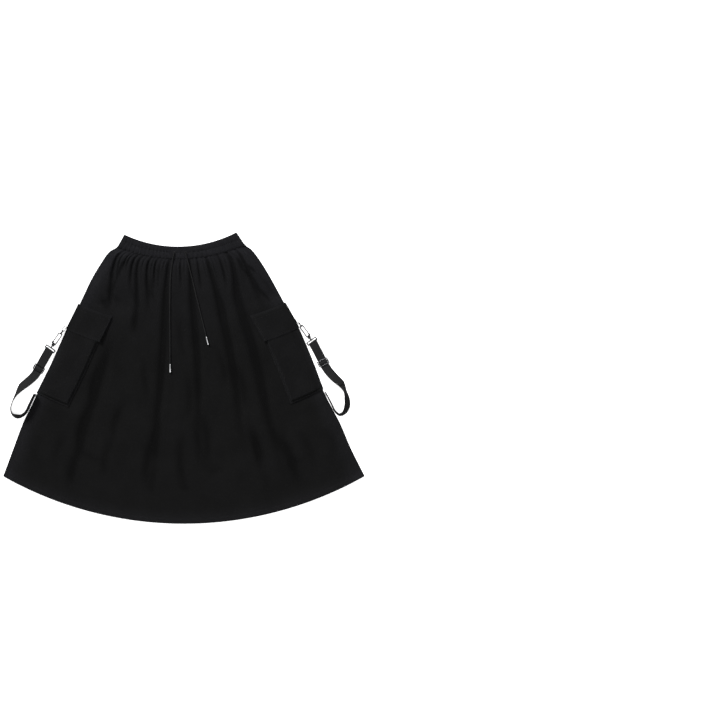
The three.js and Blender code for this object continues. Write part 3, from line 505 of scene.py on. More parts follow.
# %% Routes of the two cords
CORD_RADIUS = 1.75
TIP_LENGTH, TIP_RADIUS = 25.0, 2.7
GAP = 0.3
CORD_ROUTES = {
    "right": [
        (-27.6, 357.2, 10.2),
        (-29, 350, 10.7),
        (-31.6, 336, 9.6),
        (-34.4, 318, 9.8),
        (-36.6, 300, 10.6),
        (-38, 276, 11.6),
        (-38.8, 245, 12.1),
        (-39.3, 210, 11.1),
        (-39.4, 170, 10.3),
        (-39.2, 130, 9.8),
        (-38.9, 90, 9.6),
        (-38.8, 60, 9.9),
        (-38.8, 40, 10),
    ],
    "left": [
        (5.4, 356.6, 10.2),
        (7, 350, 10.7),
        (10.6, 336, 9.6),
        (15, 318, 9.4),
        (19.6, 300, 9.5),
        (26, 274, 10.6),
        (33, 245, 11.4),
        (41, 212, 11.3),
        (49, 180, 11.2),
        (56, 151, 11),
        (64, 118, 11.1),
    ],
}


def braid_relief(along, turn):
    """Strands of a round braid, eight each way, one turn in 14 mm."""
    strands, pitch = 8, 14.0
    a = np.sin(2 * np.pi * (strands * turn + strands * along / pitch))
    b = np.sin(2 * np.pi * (strands * turn - strands * along / pitch))
    return 0.09 * np.maximum(a, b) - 0.06


def tip_profile():
    """(along, radius) of a tip: a rolled mouth, a crimped groove and a rounded end."""
    r, end = TIP_RADIUS, TIP_LENGTH
    mouth = [(0, 1.9), (0, r - 0.4), (0.4, r), (2.2, r), (2.6, r - 0.25), (3.4, r - 0.25), (3.8, r)]
    return mouth + [(end - 2, r), (end - 1, r - 0.3), (end - 0.3, r - 0.9), (end, r - 1.8), (end, 0.01)]


def lathe(profile, origin, direction):
    """Points and faces of a profile of (along, radius) turned about a direction."""
    axis = unit(direction)
    side = unit(np.cross(axis, (0.13, 0.21, 0.97)))
    up = np.cross(side, axis)
    around = 32
    turn = 2 * np.pi * np.arange(around) / around
    spoke = side * np.cos(turn)[:, None] + up * np.sin(turn)[:, None]
    s, r = np.array(profile, float).T
    points = np.asarray(origin) + axis * s[:, None, None] + spoke * r[:, None, None]
    faces = grid_faces(len(s), around, 0, closed=True)
    faces.append(list(range(around))[::-1])
    faces.append([(len(s) - 1) * around + k for k in range(around)])
    return points.reshape(-1, 3), faces


def make_drawstring(name, route):
    path = even_points(route_points(route, 400), 220)
    points, faces, flat = tube(path, CORD_RADIUS - 0.05, 24, relief=braid_relief)
    cord = add_mesh(f"drawstring_{name}_braid", points, faces, BRAID, "cord", lay=flat)
    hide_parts(f"drawstring_{name}")
    ahead = unit(path[-1] - path[-2])
    mouth = path[-1] + ahead * GAP
    tip = add_mesh(f"tip_{name}_metal", *lathe(tip_profile(), mouth, ahead), SILVER, "tips")
    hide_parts(f"tip_{name}")


for cord_name, cord_route in CORD_ROUTES.items():
    make_drawstring(cord_name, cord_route)

# %% [markdown]
# ## The laid panels as a map
# Front and back panel share one map. Across runs from -1 at the wearer's right seam to 1 at the left
# one, and down from 0 at the waist seam to 1 at the hem. Each line across is an arc, because a flared
# skirt opens like a fan when it is laid flat. A short table gives the outline, and a second one the
# height of the front over the back.

# %% Tables of the laid skirt
WALL, POCKET_WALL = 1.2, 1.4
LAYER = POCKET_WALL + GAP
WAIST = {"y": 339, "sag": 37, "tilt": 2.8}
HEM = {"y": -415, "sag": 135.5, "tilt": 0}
PANEL_LENGTH = WAIST["y"] - HEM["y"]
BAND_TOP = {"y": 374.6, "sag": 37.4, "tilt": 3, "left": 169.6, "right": 149.6}
OUTLINE = np.array(
    [
        # down, left, right
        (0, 189.5, 174),
        (0.02, 212, 193),
        (0.07, 236, 218),
        (0.145, 265, 248),
        (0.25, 297, 285.5),
        (0.36, 332, 325),
        (0.51, 376, 367),
        (0.63, 415, 397),
        (0.7, 437, 420),
        (0.77, 459, 444.5),
        (0.88, 486, 475.5),
        (1, 515, 515),
    ]
)
LOFT = np.array(
    [
        # down, height
        (0, 3.4),
        (0.03, 6.8),
        (0.08, 7.6),
        (0.2, 6.2),
        (0.35, 4.8),
        (0.5, 4.1),
        (0.7, 3.7),
        (1, 3.2),
    ]
)
LEAST_LOFT = 0.5
SPREAD = np.array(
    [
        # across at the waist seam, across once the gathers have opened
        (-1, -1),
        (-0.87, -0.74),
        (-0.642, -0.53),
        (-0.571, -0.45),
        (-0.44, -0.335),
        (-0.341, -0.27),
        (-0.164, -0.165),
        (0, 0.01),
        (0.127, 0.122),
        (0.238, 0.23),
        (0.377, 0.4),
        (0.547, 0.5),
        (0.686, 0.59),
        (0.825, 0.8),
        (1, 1),
    ]
)
OPENED_BY = 0.2


def read(table, at, column=1):
    """A smooth reading of a table's column between its rows."""
    keys, values = table[:, 0], table[:, column]
    last = len(keys) - 1
    low, high = np.maximum(np.arange(last + 1) - 1, 0), np.minimum(np.arange(last + 1) + 1, last)
    slope = (values[high] - values[low]) / (keys[high] - keys[low])
    at = np.asarray(at, float)
    i = np.minimum(np.searchsorted(keys[1:], at, "left"), last - 1)
    span = keys[i + 1] - keys[i]
    t = np.clip((at - keys[i]) / span, 0, 1)
    level = (2 * t**3 - 3 * t**2 + 1) * values[i] + (3 * t**2 - 2 * t**3) * values[i + 1]
    return level + span * ((t**3 - 2 * t**2 + t) * slope[i] + (t**3 - t**2) * slope[i + 1])


def arc_point(across, y, sag, tilt, left, right):
    half = (left + right) / 2
    radius = (half * half + sag * sag) / (2 * sag)
    sweep = np.arcsin(half / radius)
    angle = across * sweep
    x = (right - left) / 2 + radius * np.sin(angle)
    return x, y + radius * (1 - np.cos(angle)) + tilt * across, radius * sweep, angle


def lay_point(across, down):
    """x, y, half the arc's length and the arc's angle at a place of the panels."""
    ends = [mix(WAIST[k] - (GAP if k == "y" else 0), HEM[k], down) for k in ("y", "sag", "tilt")]
    return arc_point(across, *ends, read(OUTLINE, down, 1), read(OUTLINE, down, 2))


def half_length(down):
    return lay_point(np.zeros_like(np.asarray(down, float)), down)[2]


def from_side(across, down):
    return (1 - np.abs(across)) * half_length(down)


def across_at(side, distance, down):
    return side * (1 - distance / half_length(down))


def within(value, start, end, soft):
    return smooth(value, start - soft, start) * (1 - smooth(value, end, end + soft))


WAIST_LENGTH, HEM_LENGTH = (2 * float(half_length(down)) for down in (0.0, 1.0))
print("hem is", round(HEM_LENGTH), "mm along its arc and the waist", round(WAIST_LENGTH))

# %% [markdown]
# ## Folds
# The elastic draws the cloth into gathers. Some run on as long soft folds, most stop within a hand's
# width. Each fold is a trough listed one by one, with its own start, reach, depth and width, and a
# rule places the fine gathers between them. The solids hold these. The shell adds the rounded lip
# beside each trough, and smaller creases where cloth that lies flat buckles: across the hips, beside
# the pockets and above the hem.

# %% The folds that the solids have
FOLDS = np.array(
    [
        # waist, start, reach, deep, wide
        (-0.87, 0, 0.26, 6, 10),
        (-0.755, 0.3, 0.98, 3.4, 16),
        (-0.642, 0, 0.16, 5, 8),
        (-0.571, 0, 0.34, 4.4, 9),
        (-0.44, 0, 0.24, 5.6, 9),
        (-0.341, 0, 0.14, 4.6, 7),
        (-0.164, 0, 0.96, 5.4, 12),
        (0, 0, 0.13, 4.2, 7),
        (0.127, 0, 0.84, 5.4, 12),
        (0.238, 0, 0.15, 4.6, 7),
        (0.377, 0, 0.86, 6, 13),
        (0.547, 0, 0.16, 4.6, 8),
        (0.686, 0, 1.05, 6, 15),
        (0.825, 0, 0.27, 5, 10),
    ]
)
SMALL = {"reach": 0.12, "deep": 3, "wide": 5.5}
GATHER_PITCH = 0.062


def all_folds():
    """The folds, and the fine gathers between them on the seam."""
    starts = [-1, *FOLDS[FOLDS[:, 1] == 0, 0], 1]
    small = []
    for i in range(1, len(starts)):
        count = int(math.floor((starts[i] - starts[i - 1]) / GATHER_PITCH + 0.5))
        for k in range(1, count):
            shift = 0.14 * math.sin(5 * i + 2.3 * k)
            waist = mix(starts[i - 1], starts[i], (k + shift) / count)
            long = SMALL["reach"] * (0.8 + 2.4 * shift + 0.35 * math.sin(7.7 * i + 4.1 * k))
            deep = SMALL["deep"] * (0.75 + 0.4 * math.sin(3.1 * i + 6.7 * k))
            small.append((waist, 0, long, deep, SMALL["wide"] * (1 - shift)))
    return np.array(sorted([tuple(row) for row in FOLDS] + small))


GATHERS = all_folds()


def spread(waist, down):
    return mix(waist, read(SPREAD, waist), smooth(down, 0, OPENED_BY))


def fold_away(fold, across, down):
    """How far a place is from a fold's bottom, in half-widths."""
    waist, _, _, _, wide = fold
    width = wide * mix(0.4, 1, smooth(down, 0, 0.25))
    return (across - spread(waist, down)) * half_length(down) / width


def fold_strength(fold, down):
    _, start, reach, deep, _ = fold
    begins = smooth(down, start, start + 0.12) if start else 1.0
    seam = 1.0 if start else mix(0.35, 1, smooth(down, 0, 0.03))
    return deep * begins * seam * (1 - smooth(down, reach * 0.35, reach))


POCKETS = {
    # side, width of the front part, way down to its foot, way down to the tab
    "right": {"side": -1, "front": 97, "foot": 0.638, "tab": 0.369},
    "left": {"side": 1, "front": 101, "foot": 0.625, "tab": 0.342},
}
POCKET_WIDTH, BAG_TOP, FLAP_TOP, FLAP_FOOT = 196, 0.265, 0.25, 0.36
OVERHANG, FOLD_BULGE, SEWN_EDGE, EASE = 3, 0.9, 5, 0.35
LIFTED = {"top": 0.24, "flap": 0.365, "bag": 0.645, "soft": 0.045, "beyond": 14, "slope": 50}
FRONT_SPARE = 12


def by_side(across, key):
    return np.where(across < 0, POCKETS["right"][key], POCKETS["left"][key])


def back_under(across, down, spare=0):
    """The pockets' back halves lie under the back panel and lift it."""
    reach = POCKET_WIDTH - by_side(across, "front") + OVERHANG + LIFTED["beyond"] + spare
    over = 1 - smooth(from_side(across, down) - reach, 0, LIFTED["slope"])
    layers = sum(within(down, LIFTED["top"], LIFTED[foot], LIFTED["soft"]) for foot in ("flap", "bag"))
    return over * LAYER * layers


def edge_rise(across, down):
    """Zero at the side seams, where the panels meet, and one from 30 mm inwards."""
    return smooth(from_side(across, down), 0, 30)


def unfolded_loft(across, down):
    front, foot = by_side(across, "front"), by_side(across, "foot")
    side = from_side(across, down)
    pressed = 1 - smooth(side - front, 0, 60)
    under_pocket = smooth(down, FLAP_TOP - 0.12, FLAP_TOP) * (1 - smooth(down - foot, 0, 0.12))
    return read(LOFT, down) * edge_rise(across, down) * (1 - 0.5 * pressed * under_pocket)


def loft(across, down):
    edge = edge_rise(across, down)
    folded = sum(fold_strength(f, down) * np.exp(-fold_away(f, across, down) ** 2) for f in GATHERS)
    return np.maximum(unfolded_loft(across, down) - folded * edge, LEAST_LOFT * edge)


def front_top(across, down):
    return back_under(across, down, FRONT_SPARE) + WALL + GAP + loft(across, down) + WALL


print("folds and gathers:", len(GATHERS))

# %% The creases that only the shell has
CREASES = np.array(
    [
        # x, y at each end, deep (below zero is a ridge), wide
        (-226, 60, -262, -90, 2.2, 14),
        (-262, -70, -300, -220, 2.4, 15),
        (-294, -196, -326, -320, 1.8, 15),
        (-78, -140, -108, -320, 1.8, 13),
        (192, -160, 218, -262, 1.6, 12),
        (262, -150, 324, -310, 2.2, 15),
        (-6, -150, 8, -335, 1.5, 12),
        (50, -90, 62, -260, 1.5, 12),
        (-158, 344, -190, 282, 2.2, 5),
        (-186, 292, -211, 196, 2.0, 5),
        (-222, 262, -176, 214, 1.1, 6),
        (-236, 236, -204, 178, 1.3, 8),
        (-262, 214, -205, 226, 0.9, 5),
        (-150, 262, -118, 196, 1.0, 7),
        (-128, 196, -138, 120, 1.4, 9),
        (-92, 286, -84, 214, 1.2, 7),
        (-110, 60, -100, -60, 1.1, 10),
        (-170, -60, -205, -190, 1.3, 12),
        (-205, -170, -232, -296, 1.2, 13),
        (-64, -110, -74, -240, 1.3, 11),
        (-74, -240, -92, -345, 0.9, 12),
        (-8, 180, 2, 60, 1.1, 9),
        (4, 20, 12, -120, 1.0, 10),
        (30, -130, 38, -262, 1.2, 11),
        (96, 236, 112, 150, 1.2, 8),
        (92, 90, 118, -30, 1.1, 9),
        (150, 40, 172, -80, 1.3, 10),
        (186, -130, 214, -250, 1.4, 12),
        (214, -250, 240, -330, 0.9, 13),
        (146, 350, 170, 304, 2.0, 5),
        (162, 316, 224, 232, 2.2, 5),
        (204, 258, 250, 210, 1.6, 5),
        (180, 322, 206, 296, 1.8, 5),
        (206, 300, 262, 222, 0.9, 7),
        (-330, -150, -372, -250, 1.0, 14),
        (-404, -160, -430, -236, 0.7, 12),
        (330, -150, 372, -262, 1.1, 14),
        (404, -140, 436, -226, 0.8, 12),
        (-290, -212, -232, -236, 0.8, 9),
        (120, -250, 60, -272, 0.7, 9),
        (-30, -300, 26, -318, 0.6, 9),
        (290, -250, 352, -232, 0.7, 10),
        (-196, 40, -214, -40, -0.8, 10),
        (196, 20, 222, -70, -0.8, 10),
        (-150, -220, -176, -330, -0.9, 12),
        (130, -180, 152, -300, -0.8, 12),
        (-20, -60, -26, -200, -0.7, 12),
    ]
)


def crease_depth(x, y, table):
    """Soft troughs along short lines, deepest in their middle."""
    total = np.zeros_like(x)
    for x0, y0, x1, y1, deep, wide in table:
        length = math.hypot(x1 - x0, y1 - y0)
        ux, uy = (x1 - x0) / length, (y1 - y0) / length
        t = ((x - x0) * ux + (y - y0) * uy) / length
        bend = 0.06 * length * np.sin(np.pi * np.clip(t, 0, 1)) * np.sign(deep * (x0 + 1))
        off = (x - x0) * -uy + (y - y0) * ux - bend
        ends = smooth(t, -0.12, 0.4) * (1 - smooth(t, 0.6, 1.12))
        total += deep * ends * np.exp(-((off / wide) ** 2))
    return total


def lips(across, down):
    """The rounded lip of cloth that stands beside each fold, to the light's side."""
    total = np.zeros_like(across)
    for fold in GATHERS:
        away = fold_away(fold, across, down)
        total += 0.2 * fold_strength(fold, down) * np.exp(-(((away - 1.5) / 0.75) ** 2))
    return total


def clear_of_cords(x, y):
    """One away from the drawstrings and zero under them."""
    nearest = np.full_like(x, 1e9)
    for route in CORD_ROUTES.values():
        path = route_points(route, 60)
        last = path[-1] + unit(path[-1] - path[-2]) * (TIP_LENGTH + 6)
        for px, py, _ in np.vstack([path, last, (path[-1] + last) / 2]):
            nearest = np.minimum(nearest, np.hypot(x - px, y - py))
    return smooth(nearest, 6, 20)


def clear_of_pockets(across, down):
    """One away from the pockets' front halves and zero under them."""
    side = from_side(across, down) - by_side(across, "front")
    rows = within(down, FLAP_TOP - 0.004, by_side(across, "foot") + 0.004, 0.03)
    return 1 - rows * (1 - smooth(side, 4, 22))


print("creases:", len(CREASES))

# %% [markdown]
# ## The front panel
# The front is one fine grid whose columns follow the gathers, so every gather has several columns.
# Its top is the solid's own surface with the lips and creases added, and its back lies one wall
# below. A seam allowance runs on under the waistband. The hem is turned up twice, which makes the last
# 14 mm thicker, and a line of stitches holds it.

# %% Rows and columns of the panels
HEM_DEPTH = 14.0
HEM_LINE = HEM_DEPTH - 1.5
HALF_HEM, WAIST_SHARE = 530, 0.62
SEAM_SINK = 0.7


def row_set(*spans):
    """Rows at uneven distances, from (start, end, count) of each span."""
    return np.unique(np.concatenate([np.linspace(*span) for span in spans]).round(6))


hem_spans = [(0.25, 0.972, 96), (0.972, 0.985, 9), (0.985, 1, 6)]
panel_rows = row_set((-0.004, -0.004, 1), (0, 0.03, 9), (0.03, 0.25, 48), *hem_spans)
panel_columns = np.linspace(-1, 1, 262)


def flat_lay(across, down):
    """Where a place was on the flat cloth, close enough for its weave."""
    return np.stack([across * HALF_HEM * mix(WAIST_SHARE, 1, down), -PANEL_LENGTH * down], -1)


def hem_step(down):
    """The turned-up hem is two more layers thick, with a dent where it is stitched."""
    above = (1 - down) * PANEL_LENGTH
    dent = 0.5 * np.exp(-(((above - HEM_LINE) / 1.6) ** 2))
    return 0.9 * (1 - smooth(above, HEM_DEPTH - 1, HEM_DEPTH + 1.5)) - dent


def edge_wear_and_light(across, down):
    """Paler cloth along the outer edges, the hem and the waist, fading out over the hips: partly wear where
    it rubs, partly painted light along the edges.
    """
    side = 1 - smooth(from_side(across, down), 2, 60)
    hem = 1 - smooth((1 - down) * PANEL_LENGTH, 1, 46)
    waist = 1 - smooth(down * PANEL_LENGTH, 0, 40)
    hips = 1 - smooth(down * PANEL_LENGTH, 20, 330)
    return np.clip(0.5 * side + 0.42 * hem + 0.3 * waist + 0.34 * hips, 0, 1)


def fold_painted_shade(across, down):
    """Painted shade: one at the bottom of a deep fold or crease and zero on the flat cloth. It darkens the
    colour there.
    """
    x, y, _, _ = lay_point(across, down)
    edge = edge_rise(across, down)
    folds = np.zeros_like(x)
    for fold in GATHERS:
        share = 1 if fold[3] > 3.9 or fold[1] > 0 else 0.45
        folds += share * fold_strength(fold, down) * np.exp(-1.3 * fold_away(fold, across, down) ** 2)
    creases = np.maximum(crease_depth(x, y, CREASES), 0) * clear_of_pockets(across, down)
    return np.clip(folds * edge / 3.8 + creases / 1.9, 0, 1)


def front_surface(across, down):
    """x, y and z of the front panel's face."""
    x, y, _, _ = lay_point(across, down)
    free = clear_of_pockets(across, down)
    lip = lips(across, down) * free * clear_of_cords(x, y) * smooth(down, 0.004, 0.05)
    crease = crease_depth(x, y, CREASES)
    crease = np.where(crease < 0, crease * clear_of_cords(x, y), crease) * free
    room = np.maximum(loft(across, down) - 0.25, 0)
    edge = smooth(from_side(across, down), 0, 26)
    crease = np.minimum(crease * edge, room)
    return x, y, front_top(across, down) + lip * edge - crease + hem_step(down)


# %% Front panel
def make_front():
    waist, down = np.meshgrid(panel_columns, panel_rows)
    across = spread(waist, down)
    x, y, top = front_surface(across, down)
    top = top - np.where(down < 0, SEAM_SINK, 0)
    under = np.maximum(top - WALL, front_top(across, down) - WALL - 2.5)
    face = np.stack([x, y, top], -1)
    back = np.stack([x, y, np.minimum(under, top - 0.6)], -1)
    masks = {"worn": edge_wear_and_light(across, down), "deep": fold_painted_shade(across, down)}
    piece = add_wall("front_panel_cloth", face, back, flat_lay(across, down), CLOTH, "cloth", **masks)
    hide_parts("front_panel")
    return piece


front_piece = make_front()
print("front panel triangles", 2 * len(front_piece.data.polygons))

# %% [markdown]
# ## The back panel
# The back lies face down, so its folds are the hollows that the table doesn't press flat. The long
# ones lie where the photo's view of the back shows them, with left and right swapped, because the
# skirt is seen from behind there. A rule places the small gathers between them, each with its own
# length and depth. None is deeper than the room between the two panels.

# %% Back panel
BACK_FOLDS = np.array(
    [
        # waist, start, reach, deep, wide
        (-0.93, 0, 0.12, 3, 8),
        (-0.82, 0, 0.66, 3.8, 13),
        (-0.5, 0, 0.2, 3.4, 10),
        (-0.36, 0, 0.14, 3, 8),
        (-0.21, 0, 0.72, 3.8, 14),
        (0.03, 0, 0.12, 3, 8),
        (0.21, 0, 0.44, 3.4, 11),
        (0.5, 0, 0.58, 3.8, 14),
        (0.67, 0, 0.8, 3.8, 14),
        (0.87, 0, 0.2, 3, 8),
    ]
)
BACK_CREASES = np.array(
    [
        # x, y at each end, deep, wide
        (-208, 229, -195, 193, 0.8, 7),
        (221, 229, 198, 193, 0.8, 7),
        (-120, 40, -150, -90, 0.9, 11),
        (110, 80, 130, -60, 0.8, 11),
        (-240, -170, -270, -280, 0.9, 13),
        (230, -180, 262, -290, 0.9, 13),
        (-20, -120, -8, -250, 0.8, 12),
    ]
)


def back_hollows(across, down, x, y):
    """How deep the back panel's folds are before the table presses them."""
    fine = []
    for k, waist in enumerate(np.linspace(-0.96, 0.96, 38)):
        reach = 0.06 + 0.09 * math.sin(1.7 * k + 0.4) ** 2
        deep = 1.3 + 0.9 * math.sin(2.9 * k) ** 2
        fine.append((waist + 0.014 * math.sin(2.3 * k), 0, reach, deep, 4.2 + 0.5 * deep))
    folds = [*BACK_FOLDS, *fine]
    hollows = sum(fold_strength(f, down) * np.exp(-fold_away(f, across, down) ** 2) for f in folds)
    return hollows + crease_depth(x, y, BACK_CREASES)


def back_lift(across, down, hollows):
    """How far the back panel's folds stand clear of the table."""
    room = np.maximum(loft(across, down) - 0.35, 0) * smooth(from_side(across, down), 4, 30)
    free = 1 - smooth(back_under(across, down, FRONT_SPARE), 0.05, 0.6)
    return np.minimum(hollows, 0.9 * room) * free


def make_back():
    across, down = np.meshgrid(np.linspace(-1, 1, 190), panel_rows[::2])
    x, y, _, _ = lay_point(across, down)
    hollows = back_hollows(across, down, x, y)
    lift = back_lift(across, down, hollows)
    low = back_under(across, down) + lift
    low = low - 0.25 * hem_step(down).clip(max=0) + np.where(down < 0, SEAM_SINK, 0)
    face = np.stack([x, y, low], -1)
    back = np.stack([x, y, np.maximum(back_under(across, down) + WALL + lift, low + 0.6)], -1)
    worn = edge_wear_and_light(across, down)
    # Painted shade: the colour darkens in the back panel's deeper hollows.
    deep = 0.85 * smooth(hollows, 0.4, 2.6)
    lay = flat_lay(across, down)
    piece = add_wall("back_panel_cloth", face, back, lay, CLOTH, "cloth", worn=worn, deep=deep)
    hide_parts("back_panel")
    return piece


back_piece = make_back()
print("back panel triangles", 2 * len(back_piece.data.polygons))

# %% [markdown]
# ## The waistband
# An elastic runs in a folded casing that is stitched along its middle. Drawn in by the elastic, each
# of the two channels puffs up, and fine puckers start at every line of stitches. The puckers are
# sums of a few waves with a wandering phase, so that no two are alike.

# %% Waistband
BAND = {"wall": 2.6, "hollow": 2, "puff": 1.0, "pucker": 0.55, "fullness": 1.7, "tall": 38}
BAND_FRONT = 2 * BAND["wall"] + BAND["hollow"]
EYELETS = {name: route[0][:2] for name, route in CORD_ROUTES.items()}


def band_point(across, up):
    seam = {**WAIST, "left": OUTLINE[0, 1], "right": OUTLINE[0, 2]}
    line = {k: mix(seam[k], BAND_TOP[k], up) for k in BAND_TOP}
    return arc_point(across, **line)


def pucker(s, up):
    """Uneven gathers across the band, strongest at the stitched lines. s is in millimetres."""
    wander = 2.4 * np.sin(s / 47 + 1.1) + 1.3 * np.sin(s / 19 + 3 * up)
    waves = np.sin(s * 2 * np.pi / 11.5 + wander + 0.9 * np.sin(6 * up + s / 31))
    waves = waves + 0.5 * np.sin(s * 2 * np.pi / 6.3 - wander + 4 * up)
    at_line = np.exp(-(((up - 0.5) / 0.12) ** 2)) + np.exp(-((up / 0.12) ** 2)) + 0.45
    return waves * np.clip(at_line, 0, 1.1)


def band_height(s, x, up, front=True):
    calm = 1.0
    if front:
        calm = np.minimum(*(smooth(abs(x - at), 7, 14) for at, _ in EYELETS.values()))
    channels = np.abs(np.sin(2 * np.pi * up))
    stitched = 0.5 * np.exp(-(((up - 0.5) / 0.03) ** 2))
    rolled = 2.4 * (1 - np.sqrt(np.clip(1 - (smooth(up, 0.9, 1.06)) ** 2, 0, 1)))
    tucked = 0.9 * (1 - smooth(up, 0, 0.06))
    return calm * (BAND["puff"] * channels + BAND["pucker"] * pucker(s, up)) - stitched - rolled - tucked


def make_band():
    front_columns, back_columns, round_columns = 300, 150, 5
    up = np.linspace(0, 1, 25)[:, None]
    turn = 0.012
    across_front = np.linspace(-1 + turn, 1 - turn, front_columns)[None, :]
    across_back = np.linspace(1 - turn, -1 + turn, back_columns)[None, :]

    def layer(across, height, inner):
        across = across * (0.985 if inner else 1)
        x, y, _, _ = band_point(across, up)
        return np.stack([x, y, np.broadcast_to(height, x.shape)], -1)

    x, _, _, _ = band_point(across_front, up)
    raise_front = band_height(across_front * WAIST_LENGTH / 2, x, up)
    fade = smooth(1 - np.abs(across_front), turn, turn + 0.03)
    front_face = layer(across_front, BAND_FRONT + raise_front * fade, False)
    front_back = layer(across_front, BAND_FRONT - BAND["wall"] + 0 * x, True)
    raise_back = band_height(across_back * WAIST_LENGTH / 2 + 300, 0, up, front=False)
    press = 0.35 * np.clip(-raise_back + 0.9, 0, 2.5)
    back_face = layer(across_back, press * smooth(1 - np.abs(across_back), turn, turn + 0.03), False)
    back_back = layer(across_back, BAND["wall"] + 0 * raise_back, True)

    def rounded(side, start, end):
        """The folded side of the band, from one layer to the other."""
        angle = np.linspace(start, end, round_columns + 2)[1:-1]
        outer, inner = [], []
        for a in angle:
            reach = 1 - turn + turn * math.cos(a)
            x, y, _, _ = band_point(side * reach, up[:, 0])
            outer.append(np.stack([x, y, np.full_like(x, BAND_FRONT / 2 * (1 + math.sin(a)))], -1))
            x, y, _, _ = band_point(side * (0.97 + 0.005 * math.cos(a)), up[:, 0])
            inner.append(np.stack([x, y, np.full_like(x, BAND_FRONT / 2 + math.sin(a))], -1))
        return np.stack(outer, 1), np.stack(inner, 1)

    left_out, left_in = rounded(1, math.pi / 2, -math.pi / 2)
    right_out, right_in = rounded(-1, -math.pi / 2, math.pi / 2)
    face = np.concatenate([front_face, left_out, back_face, right_out], 1)
    back = np.concatenate([front_back, left_in, back_back, right_in], 1)
    columns = face.shape[1]
    s = np.linspace(0, 2 * WAIST_LENGTH, columns)[None, :] + 0 * up
    lay = np.stack([s * BAND["fullness"], BAND["tall"] * up + 0 * s], -1)
    # The whole band is paler: partly wear, partly painted light along the waist.
    worn = np.full_like(s, 0.85)
    piece = add_wall("waistband_cloth", face, back, lay, CLOTH, "cloth", closed=True, worn=worn)
    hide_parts("waistband")
    return piece


band_piece = make_band()
print("waistband triangles", 2 * len(band_piece.data.polygons))

# %% [markdown]
# ## Sewn eyelets
# A buttonhole-stitched eyelet is a ring of thread laid round a small hole, thread beside thread. A
# ring whose thickness goes up and down 34 times has just that look.

# %% Eyelets
EYELET_RADIUS, EYELET_POINTS, WRAPS = 3.45, 204, 34
turn_round = np.linspace(0, 2 * np.pi, EYELET_POINTS + 1)[:-1]
round_hole = [EYELET_RADIUS * np.cos(turn_round), EYELET_RADIUS * np.sin(turn_round)]
ring = np.column_stack([*round_hole, np.zeros(EYELET_POINTS)])
wraps = 0.62 + 0.16 * np.abs(np.sin(WRAPS / 2 * turn_round))
for eyelet_name, (eye_x, eye_y) in EYELETS.items():
    ring_at = ring + (eye_x, eye_y, BAND_FRONT + GAP + 0.42)
    ring_points, ring_faces, ring_lay = tube(ring_at, wraps, 12, closed=True)
    low = ring_at[0, 2]
    ring_points[:, 2] = low + (ring_points[:, 2] - low) * 0.62
    eyelet = add_mesh(f"eyelet_{eyelet_name}_thread", ring_points, ring_faces, THREAD, "thread", lay=ring_lay)
    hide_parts(f"eyelet_{eyelet_name}")
print("eyelets", len(EYELETS))

# %% [markdown]
# ## Bellows pockets and their flaps
# Each pocket is folded round the side seam, so half of it is on the front and half on the back. Its
# bag stands off the panel on bellows: a narrow sewn edge, a steep wall and a slack crown. The flap
# is a second layer over its mouth. Both are grids that start on the front, turn round the seam and
# end on the back, and both stand on the same map as the solids.

# %% The shape of a pocket layer
BELLOWS = {"rise": 5, "foot": 3, "sag": 2.2, "crown": 42}
RIM = SEWN_EDGE + BELLOWS["foot"]
FOLD_COLUMNS, BACK_COLUMNS = 7, 22


def pocket_base(across, down):
    """What the pockets' front halves lie on: the front panel without its folds."""
    ease = GAP + EASE * smooth(from_side(across, down), 0, 10)
    return back_under(across, down, FRONT_SPARE) + WALL + GAP + unfolded_loft(across, down) + WALL + ease


def bellows(inset, from_fold, from_mouth):
    wall = smooth(inset, SEWN_EDGE, RIM)
    sag = mix(1, BELLOWS["sag"] / BELLOWS["rise"], smooth(inset, SEWN_EDGE + 6, BELLOWS["crown"]))
    side = smooth(from_fold, 0, 26)
    return BELLOWS["rise"] * wall * sag * side * mix(0.25, 1, smooth(from_mouth, 0, 60))


def wrap_rows(pocket, down, level, distances, overhang, lift):
    """Outer and inner points of one line round the pocket."""
    side, front = pocket["side"], pocket["front"]
    depth = level * LAYER
    across = across_at(side, distances, down)
    x, y, _, _ = lay_point(across, down)
    under = pocket_base(across, down) + depth + lift(front - distances, distances)
    outer = [np.column_stack([x, y, under + POCKET_WALL])]
    inner = [np.column_stack([x, y, under])]
    ex, ey, _, angle = (float(v) for v in lay_point(float(side), down))
    ox, oy = side * math.cos(angle), side * math.sin(angle)
    high = float(pocket_base(float(side), down)) + depth
    low = float(back_under(float(side), down)) - GAP - depth
    bulge = GAP + depth + FOLD_BULGE
    middle, tall = (high + low) / 2, (high - low) / 2
    for a in np.linspace(math.pi / 2, -math.pi / 2, FOLD_COLUMNS + 2)[1:-1]:
        out_reach = bulge * math.cos(a) ** 0.6 + POCKET_WALL * math.cos(a)
        in_reach = (GAP + depth) + FOLD_BULGE * math.cos(a)
        out_z = middle + (tall + POCKET_WALL) * math.sin(a)
        in_z = middle + (tall - 0.05) * math.sin(a)
        outer.append([[ex + ox * out_reach, ey + oy * out_reach, out_z]])
        inner.append([[ex + ox * in_reach, ey + oy * in_reach, in_z]])
    back = np.linspace(0, 1, BACK_COLUMNS) * (POCKET_WIDTH - front + overhang)
    x, y, _, _ = lay_point(across_at(side, back, down), down)
    floor = low - POCKET_WALL
    outer.append(np.column_stack([x, y, np.full_like(x, floor)]))
    inner.append(np.column_stack([x, y, np.full_like(x, floor + POCKET_WALL)]))
    return np.concatenate(outer), np.concatenate(inner)


